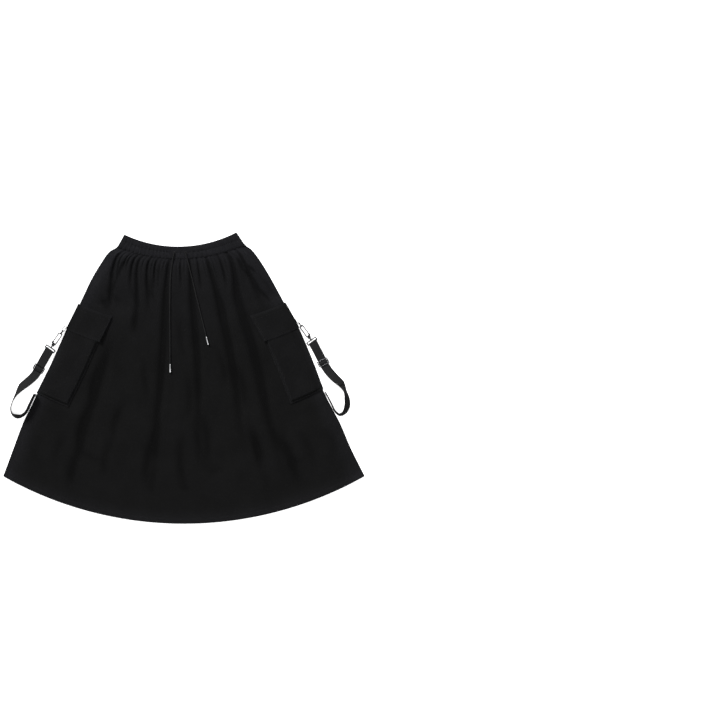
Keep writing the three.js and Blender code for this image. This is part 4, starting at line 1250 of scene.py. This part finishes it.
def layer_wall(name, rows, downs, node, worn):
    face = np.stack([outer for outer, _ in rows])
    back = np.stack([inner for _, inner in rows])
    s = lengths_along(face[len(rows) // 2])
    lay = np.stack(np.broadcast_arrays(s[None, :], -PANEL_LENGTH * downs[:, None]), -1)
    piece = add_wall(name, face, back, lay, CLOTH, "cloth", worn=worn(lay[..., 0], lay[..., 1]))
    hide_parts(node)
    return face


print("pocket layers are described")

# %% Pocket bags and flaps
POCKET_CREASES = np.array(
    [
        # inset from the inner edge and distance from the mouth at each end, deep, wide
        (20, 60, 52, 150, 0.9, 8),
        (60, 30, 38, 110, 0.7, 7),
        (30, 190, 78, 160, 0.8, 8),
        (14, 120, 40, 96, 0.7, 6),
        (70, 200, 86, 240, 0.6, 7),
    ]
)


FLAP_ROWS = {"risen": 0.262, "fine": 0.352, "seam": 0.3545}


def bag_height(foot):
    """How far a bag's foot lies below its mouth, in millimetres."""
    return float(lay_point(1.0, BAG_TOP)[1] - lay_point(1.0, foot)[1])


def make_bag(name, pocket):
    front, foot, side = pocket["front"], pocket["foot"], pocket["side"]
    edge = [(0, SEWN_EDGE, 3), (SEWN_EDGE, RIM, 7)]
    insets = row_set(*edge, (RIM, 24, 12), (24, front, 26))
    tall = bag_height(foot)
    up = row_set(*edge, (RIM, 24, 8), (24, BELLOWS["crown"], 6), (45, tall, 34))
    downs = (foot - up / tall * (foot - BAG_TOP))[::-1]
    rows = []
    for down in downs:
        from_foot = (foot - down) / (foot - BAG_TOP) * tall
        from_mouth = tall - from_foot

        def lift(inset, distance):
            puffed = bellows(np.minimum(inset, from_foot), distance, from_mouth)
            at = np.full_like(inset, from_mouth)
            dents = crease_depth(inset + (3 if side > 0 else 0), at, POCKET_CREASES)
            shown = smooth(from_mouth, 86, 104) * smooth(distance, 4, 24)
            seam = 0.25 * np.exp(-(((np.minimum(inset, from_foot) - RIM - 3.2) / 1.0) ** 2))
            return np.maximum(puffed - (dents + seam) * shown * smooth(inset, RIM, RIM + 8), 0)

        rows.append(wrap_rows(pocket, down, 0, front - insets, 0, lift))

    def worn(s, _):
        return 0.12 + 0.25 * np.exp(-(((s - RIM) / 3) ** 2)) + 0.35 * np.exp(-(((s - front) / 6) ** 2))

    return layer_wall(f"pocket_bag_{name}_cloth", rows, downs, f"pocket_bag_{name}", worn)


def make_flap(name, pocket):
    front, foot = pocket["front"], pocket["foot"]
    distances = front - row_set((-OVERHANG, 2, 4), (2, 24, 12), (24, front, 26))
    tall = bag_height(foot)
    risen, fine = FLAP_ROWS["risen"], FLAP_ROWS["fine"]
    downs = row_set((FLAP_TOP, risen, 8), (risen, fine, 22), (fine, FLAP_FOOT, 6))
    rows = []
    for down in downs:
        over = float(smooth(down, FLAP_TOP, risen))
        from_mouth = max(0, (down - BAG_TOP) / (foot - BAG_TOP) * tall)

        def lift(inset, distance):
            bag = bellows(np.maximum(inset, RIM), distance, from_mouth)
            seam = 0.22 * np.exp(-(((inset + OVERHANG - 4.0) / 0.9) ** 2)) * smooth(distance, 2, 12)
            from_seam = (down - FLAP_ROWS["seam"]) / 0.0012
            low_seam = 0.2 * math.exp(-(from_seam**2)) * smooth(distance, 2, 12)
            sunk = (1 - over) * LAYER * smooth(distance, 0, 12)
            return over * bag - sunk - (seam + low_seam) * over * 0.5

        rows.append(wrap_rows(pocket, down, 1, distances, OVERHANG, lift))

    def worn(s, y):
        foot_edge = np.exp(-(((y + PANEL_LENGTH * FLAP_FOOT) / 3) ** 2))
        top_edge = np.exp(-(((y + PANEL_LENGTH * FLAP_TOP) / 5) ** 2))
        return np.clip(0.15 + 0.25 * (foot_edge + top_edge) + 0.2 * np.exp(-((s / 4) ** 2)), 0, 1)

    return layer_wall(f"pocket_flap_{name}_cloth", rows, downs, f"pocket_flap_{name}", worn)


bag_faces = {name: make_bag(name, pocket) for name, pocket in POCKETS.items()}
flap_faces = {name: make_flap(name, pocket) for name, pocket in POCKETS.items()}
print("pockets", list(bag_faces), "flap grid", flap_faces["left"].shape[:2])

# %% [markdown]
# ## Straps
# The webbing is a woven tape 25 mm wide. It starts at its cut end, passes over the slider's bar,
# turns round the eye of the snap hook, comes back underneath and runs on to the pocket's foot. Where
# it lies free it turns on its edge, as stiff tape does. It is swept through frames with a face
# direction of their own. Its two edges are thicker, the way a selvedge is.

# %% Frames of a strap
WEB = {"width": 25, "thick": 1.4}
STACKED = WEB["thick"] + 0.4
RING = {"radius": 7, "wire": 2.8, "height": 9.2}
TAB = {"width": 8, "thick": 1.2, "reach": 14, "turn": 3.4}
HOOK = {"bow": 5, "wire": 3.2, "slope": -0.1}
EYE = {"start": 44, "length": 11, "wire": 3}
HEADING = (0.58, -0.815)
STRAP_RUNS = {
    # x, y, lean in degrees
    "right": [
        (-413.5, 27, 0),
        (-424, 9, 4),
        (-442, -9, 16),
        (-463, -27, 34),
        (-476, -46, 66),
        (-487, -67, 78),
        (-492, -88, 76),
        (-487, -103, 70),
        (-475, -109, 60),
        (-459.5, -106.5, 72),
        (-447, -95, 78),
        (-438, -76, 80),
        (-428.4, -56, 81),
        (-423, -45, 82),
    ],
    "left": [
        (396.8, 44.5, 0),
        (411, 21, 5),
        (429, 1, 22),
        (449, -18, 44),
        (459.5, -38, 70),
        (465, -60, 54),
        (465, -80, 50),
        (457, -98, 62),
        (443, -104, 72),
        (430.5, -94, 78),
        (421, -75, 80),
        (411, -55, 81),
        (403.2, -40, 82),
    ],
}
TAIL_ROWS, STEPS_PER_ROW = 3, 9
UP = np.array([0.0, 0.0, 1.0])


def hook_up(name):
    """Where a strap's ring, hook and eye are, from the pocket's fold."""
    pocket = POCKETS[name]
    side = pocket["side"]
    ex, ey, _, _ = (float(v) for v in lay_point(float(side), pocket["tab"]))
    bx, by, _, _ = (float(v) for v in lay_point(float(side), pocket["tab"] - 0.02))
    along = unit([ex - bx, ey - by, 0])
    outwards = np.array([-along[1], along[0], 0]) * side
    fold = GAP + LAYER + FOLD_BULGE + POCKET_WALL
    stand = fold + GAP + TAB["thick"] + TAB["turn"]
    wire = np.array([ex, ey, RING["height"]]) + outwards * stand
    heading = unit([side * HEADING[0], HEADING[1], 0])
    reach = 2 * RING["radius"] + HOOK["bow"] - HOOK["wire"] / 2 - GAP - RING["wire"] / 2
    origin = wire + heading * reach
    far = EYE["start"] + EYE["length"] - EYE["wire"] / 2
    bar = origin + heading * far + UP * far * HOOK["slope"]
    wide = np.array([-heading[1], heading[0], 0]) * -side
    return {
        "side": side,
        "along": along,
        "outwards": outwards,
        "wire": wire,
        "heading": heading,
        "bar": bar,
        "bar_wide": wide,
    }


def curve_steps(rows):
    return route_points(rows, (len(rows) - 1) * STEPS_PER_ROW + 1)


def run_frames(name):
    """Points, width directions and face directions of the single run, from the slider to its sewn end."""
    side = POCKETS[name]["side"]
    table = np.array(STRAP_RUNS[name], float)
    floor = np.column_stack([table[:, :2], np.zeros(len(table))])
    points = curve_steps(floor)
    lean = curve_steps(np.column_stack([table[:, 2], np.arange(len(table)), np.zeros(len(table))]))
    lean = np.radians(np.clip(lean[:, 0], 0, 90))
    ahead = unit(np.gradient(points, axis=0))
    inwards = np.column_stack([ahead[:, 1], -ahead[:, 0], np.zeros(len(points))]) * side
    c, n = np.cos(lean)[:, None], np.sin(lean)[:, None]
    points[:, 2] = WEB["width"] * n[:, 0] / 2 + WEB["thick"] * c[:, 0] / 2 + 0.1
    return points, inwards * c + UP * n, UP * c - inwards * n


def strap_frames(name):
    """Points, width directions and face directions from the cut end to the sewn one."""
    up = hook_up(name)
    side, bar, bar_wide = up["side"], up["bar"], up["bar_wide"]
    points, wide, face = run_frames(name)
    tail = slice(2 * STEPS_PER_ROW // 3, TAIL_ROWS * STEPS_PER_ROW + 1)
    frames = [(p + f * STACKED, w, f) for p, w, f in zip(points[tail], wide[tail], face[tail])][::-1]
    start = points[0]
    heading = (bar - start) * (1, 1, 0)
    reach = float(np.linalg.norm(heading))
    heading = heading / reach
    level = np.array([-heading[1], heading[0], 0]) * side

    def station(s, z, facing):
        t = min(max(s / reach, 0), 1)
        place = start + heading * s
        return np.array([place[0], place[1], z]), unit(mix(level, bar_wide, t * t)), facing

    low = start[2]
    high = low + STACKED
    wrap = EYE["wire"] / 2 + 2 * GAP + WEB["thick"] / 2
    hump = [(-7.5, 0), (-6, 0.25), (-4.6, 0.7), (-3.6, 1.4), (-2.6, 1.9), (0, 2.1)]
    hump = hump + [(-s, h) for s, h in hump[-2::-1]]
    frames += [station(s, high + h, UP) for s, h in hump]
    ways = [0.3, 0.4, 0.5, 0.6, 0.7, 0.78, 0.85]

    def climb(t, a, b):
        return float(mix(a, b, smooth(t, 0.1, 0.85)))

    frames += [station(t * reach, climb(t, high, bar[2] + wrap), UP) for t in ways]
    for degrees in np.linspace(90, -90, 13):
        a = math.radians(degrees)
        facing = -up["heading"] * math.cos(a) + UP * math.sin(a)
        frames.append((bar + facing * wrap, bar_wide, facing))
    frames += [station(t * reach, climb(t, low, bar[2] - wrap), -UP) for t in ways[::-1]]
    frames += [(p, w, -f) for p, w, f in zip(points, wide, face)]
    return [np.array(v) for v in zip(*frames)]


# %% Straps with their selvedges
def ribbon(points, wide, face, width, thick, columns=15):
    """A tape with rounded, slightly thicker edges."""
    t = np.linspace(-1, 1, columns)
    edge = np.clip((np.abs(t) - 0.8) / 0.2, 0, 1)
    half = thick / 2 * (0.86 + 0.14 * np.sin(np.pi * np.clip(edge, 0, 1)))
    half = np.where(np.abs(t) > 0.999, thick * 0.2, half)
    across = points[:, None] + wide[:, None] * (t * width / 2)[None, :, None]
    s = lengths_along(points)
    top = across + face[:, None] * half[None, :, None]
    low = across - face[:, None] * half[None, :, None]
    lay = np.stack(np.broadcast_arrays(s[:, None], (t * width / 2)[None, :]), -1)
    return top, low, lay


def make_strap(name):
    points, wide, face = strap_frames(name)
    top, low, lay = ribbon(points, wide, face, WEB["width"], WEB["thick"])
    worn = 0.15 + 0.7 * smooth(np.abs(lay[..., 1]), 10.5, 12.5)
    piece = add_wall(f"strap_{name}_webbing", top, low, lay, TAPE, "webbing", worn=worn)
    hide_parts(f"strap_{name}")
    return piece, float(lengths_along(points)[-1])


def make_tab(name):
    up = hook_up(name)
    inner = TAB["turn"] + TAB["thick"] / 2
    wire, along, outwards = up["wire"], up["along"], up["outwards"]
    legs = np.linspace(2, TAB["reach"], 6)
    frames = [(wire - along * a - outwards * inner, UP, -outwards) for a in legs[::-1]]
    for degrees in np.linspace(-90, 90, 17):
        a = math.radians(degrees)
        facing = along * math.cos(a) + outwards * math.sin(a)
        frames.append((wire + facing * inner, UP, facing))
    for a in legs:
        pinch = mix(1, 0.3, float(smooth(a, 0, TAB["reach"])))
        frames.append((wire - along * a + outwards * inner * pinch, UP, outwards))
    top, low, lay = ribbon(*[np.array(v) for v in zip(*frames)], TAB["width"], TAB["thick"], 9)
    piece = add_wall(f"ring_tab_{name}_tape", top, low, lay, TAPE, "webbing", worn=0 * lay[..., 0] + 0.3)
    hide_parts(f"ring_tab_{name}")


strap_pieces, strap_lengths = {}, {}
for strap_name in POCKETS:
    strap_pieces[strap_name], strap_lengths[strap_name] = make_strap(strap_name)
    make_tab(strap_name)
print("webbing", {name: round(length) for name, length in strap_lengths.items()}, "mm")

# %% [markdown]
# ## Hardware
# The rings, hooks, swivel eyes and sliders are hard pieces whose solids already have their shape, so
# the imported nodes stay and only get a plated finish.

# %% Metal nodes
METAL = ["ring", "hook_body", "hook_gate", "swivel_eye", "slider"]
for node_name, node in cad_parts.items():
    if node_name.rsplit("_", 1)[0] in METAL:
        node.data.materials.clear()
        node.data.materials.append(NICKEL)
print("metal nodes", sum(n.rsplit("_", 1)[0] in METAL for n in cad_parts))

# %% [markdown]
# ## Sewing
# Every seam that shows is topstitched with black thread a little glossier than the cloth. A stitch
# is a small bean of thread that dips into the cloth at both ends. One function lays a row of them
# along any line on a surface, and all rows of one piece are one mesh.

# %% Rows of stitches
STITCH = {"pitch": 3.2, "share": 0.74, "radius": 0.3, "around": 6, "rows": 5}
STITCH_POINTS = STITCH["around"] * STITCH["rows"]


def stitches(line, normals, pitch=STITCH["pitch"]):
    """Points and faces of the stitches along a line."""
    s = lengths_along(line)
    count = max(1, int(s[-1] / pitch))
    step = s[-1] / count
    around, rows = STITCH["around"], STITCH["rows"]
    turn = 2 * np.pi * np.arange(around) / around
    parts_p, parts_f = [], []
    t = np.linspace(0, 1, rows)
    rise = np.sin(np.pi * t) * 0.42 - 0.12
    thick = STITCH["radius"] * np.array([0.45, 0.95, 1.0, 0.95, 0.45])
    for i in range(count):
        at = (i + t * STITCH["share"]) * step
        path = np.column_stack([np.interp(at, s, line[:, k]) for k in range(3)])
        up = unit(np.column_stack([np.interp(at, s, normals[:, k]) for k in range(3)]))
        along = unit(np.gradient(path, axis=0))
        side = unit(np.cross(along, up))
        path = path + up * rise[:, None]
        spoke = side[:, None] * np.cos(turn)[:, None] + up[:, None] * np.sin(turn)[:, None]
        points = path[:, None] + spoke * thick[:, None, None]
        start = i * around * rows
        parts_p.append(points.reshape(-1, 3))
        parts_f += grid_faces(rows, around, start, closed=True)
        parts_f.append([start + k for k in range(around)][::-1])
        parts_f.append([start + (rows - 1) * around + k for k in range(around)])
    return np.concatenate(parts_p), parts_f


def on_grid(face, rows, columns):
    """A line over a grid of points, at fractional rows and columns, with its outward directions."""
    d_row, d_col = np.gradient(face, axis=0), np.gradient(face, axis=1)
    normal = unit(np.cross(d_row, d_col))
    rows, columns = np.broadcast_arrays(np.asarray(rows, float), np.asarray(columns, float))
    r, c = np.clip(rows, 0, face.shape[0] - 1.001), np.clip(columns, 0, face.shape[1] - 1.001)
    i, j = r.astype(int), c.astype(int)
    u, v = (r - i)[:, None], (c - j)[:, None]

    def take(grid):
        low = grid[i, j] * (1 - v) + grid[i, j + 1] * v
        high = grid[i + 1, j] * (1 - v) + grid[i + 1, j + 1] * v
        return low * (1 - u) + high * u

    return take(face), unit(take(normal))


# %% Hem and waistband stitching
hem_across = np.linspace(-0.994, 0.994, 700)
hem_down = np.full_like(hem_across, 1 - HEM_LINE / PANEL_LENGTH)
hem_line = np.column_stack(front_surface(hem_across, hem_down))
hem_row = stitches(hem_line, np.tile(UP, (len(hem_line), 1)))
BAND_SEAMS, BAND_PITCH = (0.09, 0.5), 2.9


def band_line(up):
    across = np.linspace(-0.985, 0.985, 500)
    x, y, _, _ = band_point(across, np.full_like(across, up))
    z = BAND_FRONT + band_height(across * WAIST_LENGTH / 2, x, np.full_like(across, up))
    away = np.minimum(*(np.hypot(x - ex, y - ey) for ex, ey in EYELETS.values()))
    line = np.column_stack([x, y, z])
    keep = away > 5.5
    cuts = np.flatnonzero(np.diff(keep.astype(int))) + 1
    spans = [part for part in np.split(np.arange(len(x)), cuts) if keep[part[0]] and len(part) > 3]
    return [stitches(line[part], np.tile(UP, (len(part), 1)), BAND_PITCH) for part in spans]


band_rows = [row for up in BAND_SEAMS for row in band_line(up)]
hem_thread = add_mesh("hem_stitches", *hem_row, THREAD, "thread")
band_thread = add_mesh("waistband_stitches", *merged(*band_rows), THREAD, "thread")
stitch_points = len(hem_thread.data.vertices) + len(band_thread.data.vertices)
print("stitches on the hem and band", stitch_points // STITCH_POINTS)


# %% Pocket stitching
def pocket_thread(name):
    """The stitches of a pocket and its flap, along fractional rows and columns of their grids."""
    bag, flap = bag_faces[name], flap_faces[name]
    rows = []
    clear_of_fold = FOLD_COLUMNS + BACK_COLUMNS + 5

    def outward(face, r, c):
        line, normal = on_grid(face, r, c)
        if normal[0, 2] < 0 and c[0] < face.shape[1] / 3:
            normal = -normal
        return line, normal

    n_rows, n_columns = flap.shape[:2]
    front_end = n_columns - clear_of_fold
    for edge in (3.0, 5.2):
        rows.append(outward(flap, np.linspace(6, n_rows - 3.0, 80), np.full(80, edge)))
    for edge in (3.0, 5.4):
        rows.append(outward(flap, np.full(160, n_rows - 1 - edge), np.linspace(3, front_end, 160)))
    rows.append(outward(flap, np.full(160, 9.0), np.linspace(3, front_end, 160)))
    n_rows, n_columns = bag.shape[:2]
    front_end = n_columns - clear_of_fold
    rows.append(outward(bag, np.linspace(14, n_rows - 2.5, 160), np.full(160, 1.0)))
    rows.append(outward(bag, np.linspace(14, n_rows - 12.0, 160), np.full(160, 9.6)))
    rows.append(outward(bag, np.full(160, n_rows - 2.0), np.linspace(1, front_end, 160)))
    rows.append(outward(bag, np.full(160, n_rows - 1 - 9.6), np.linspace(9.6, front_end, 160)))
    made = [stitches(even_points(line, 300), even_points(normal, 300)) for line, normal in rows]
    return add_mesh(f"pocket_{name}_stitches", *merged(*made), THREAD, "thread")


for pocket_name in POCKETS:
    thread_piece = pocket_thread(pocket_name)
    print(thread_piece.name, len(thread_piece.data.vertices) // STITCH_POINTS, "stitches")


# %% The tack that holds each strap's end to the side seam
def strap_tack(name):
    """Short threads from the foot of the upright webbing to the seam beside it."""
    points, wide, _ = strap_frames(name)
    side = POCKETS[name]["side"]
    seam_x, seam_y, _, _ = lay_point(np.full(400, float(side)), np.linspace(0.6, 0.75, 400))
    threads = []
    for k in range(12):
        station = len(points) - 2 - k % 6
        low = points[station] - wide[station] * (WEB["width"] / 2 - 1.2 - 0.7 * (k % 3))
        seam = float(np.interp(-low[1], -seam_y, seam_x))
        over = np.array([seam - side * 2.5, low[1] + 0.8 * (k % 2), 3.1])
        path = route_points([low, (low + over) / 2 + UP * 0.5, over], 7)
        threads.append(tube(path, 0.35, 8))
    return add_mesh(f"strap_{name}_tack", *merged(*threads), THREAD, "thread")


for strap_name in POCKETS:
    print(strap_tack(strap_name).name)

# %% [markdown]
# ## Cut cloth
# The panels, band, pockets and straps are sheets that were cut flat.

# %% Sheets
print("the panels, band, pockets and straps are sheets cut flat")

# %% [markdown]
# ## Floor and light
# The photo has a white ground and even, soft light that comes a little from the upper left, enough
# to darken one side of every fold. A pale floor, a wide key, a weak fill and a bright surround do
# the same. The ground glows like a light table where the camera sees it, so that it stays white up
# to the cloth, and is grey to the metal, which needs something dark to reflect. The Standard view
# keeps the black of the cloth black.

# %% Floor and lights
floor_mesh = bpy.data.meshes.new("floor")
HALF_FLOOR = 9.0
corners = [(x * HALF_FLOOR, y * HALF_FLOOR, 0) for x, y in ((-1, -1), (1, -1), (1, 1), (-1, 1))]
floor_mesh.from_pydata(corners, [], [(0, 1, 2, 3)])
floor = bpy.data.objects.new("floor", floor_mesh)
floor.location = (0, 0, -0.0004)
bpy.context.scene.collection.objects.link(floor)
floor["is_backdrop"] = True
floor_material = bpy.data.materials.new("white_ground")
floor_material.use_nodes = True
ground_tree = floor_material.node_tree
ground = ground_tree.nodes["Principled BSDF"]
seen = ground_tree.nodes.new("ShaderNodeLightPath").outputs["Is Camera Ray"]
shade = mixed_colour(ground_tree, seen, (0.22, 0.22, 0.22, 1), (0.93, 0.93, 0.93, 1))
ground_tree.links.new(shade, ground.inputs["Base Color"])
ground_tree.links.new(calculate(ground_tree, "MULTIPLY", seen, 0.7), ground.inputs["Emission Strength"])
ground.inputs["Roughness"].default_value = 0.95
ground.inputs["Specular IOR Level"].default_value = 0.1
ground.inputs["Emission Color"].default_value = (1, 1, 1, 1)
floor_mesh.materials.append(floor_material)


def add_sun(name, towards, strength, softness):
    data = bpy.data.lights.new(name, "SUN")
    data.energy = strength
    data.angle = math.radians(softness)
    light = bpy.data.objects.new(name, data)
    light.rotation_mode = "QUATERNION"
    light.rotation_quaternion = Vector(towards).to_track_quat("-Z", "Y")
    bpy.context.scene.collection.objects.link(light)


add_sun("key", (0.52, -0.72, -0.58), 4.4, 18)
add_sun("fill", (-0.6, 0.3, -0.8), 0.8, 40)
world = bpy.data.worlds.new("surround")
world.use_nodes = True
sky = world.node_tree
facing = sky.nodes.new("ShaderNodeSeparateXYZ")
sky.links.new(sky.nodes.new("ShaderNodeTexCoord").outputs["Generated"], facing.inputs[0])
panel = sky.nodes.new("ShaderNodeMapRange")
panel.interpolation_type = "SMOOTHSTEP"
for key, value in {"From Min": 0.72, "From Max": 0.9, "To Min": 0.12, "To Max": 1.3}.items():
    panel.inputs[key].default_value = value
sky.links.new(facing.outputs["Z"], panel.inputs["Value"])
open_sky = sky.nodes.new("ShaderNodeLightPath").outputs["Is Camera Ray"]
brightness = calculate(sky, "MAXIMUM", panel.outputs["Result"], open_sky)
sky.links.new(brightness, sky.nodes["Background"].inputs["Strength"])
sky.nodes["Background"].inputs["Color"].default_value = (1, 1, 1, 1)
bpy.context.scene.world = world
bpy.context.scene.view_settings.view_transform = "Standard"

# %% [markdown]
# ## The dressed skirt's box
# The box of the dressed skirt is printed. It should agree with the box of its solids to within the
# little that cloth may stand proud.

# %% Sizes and finish
low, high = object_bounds()
print("visual box", [round(v, 4) for v in (*low, *high)])
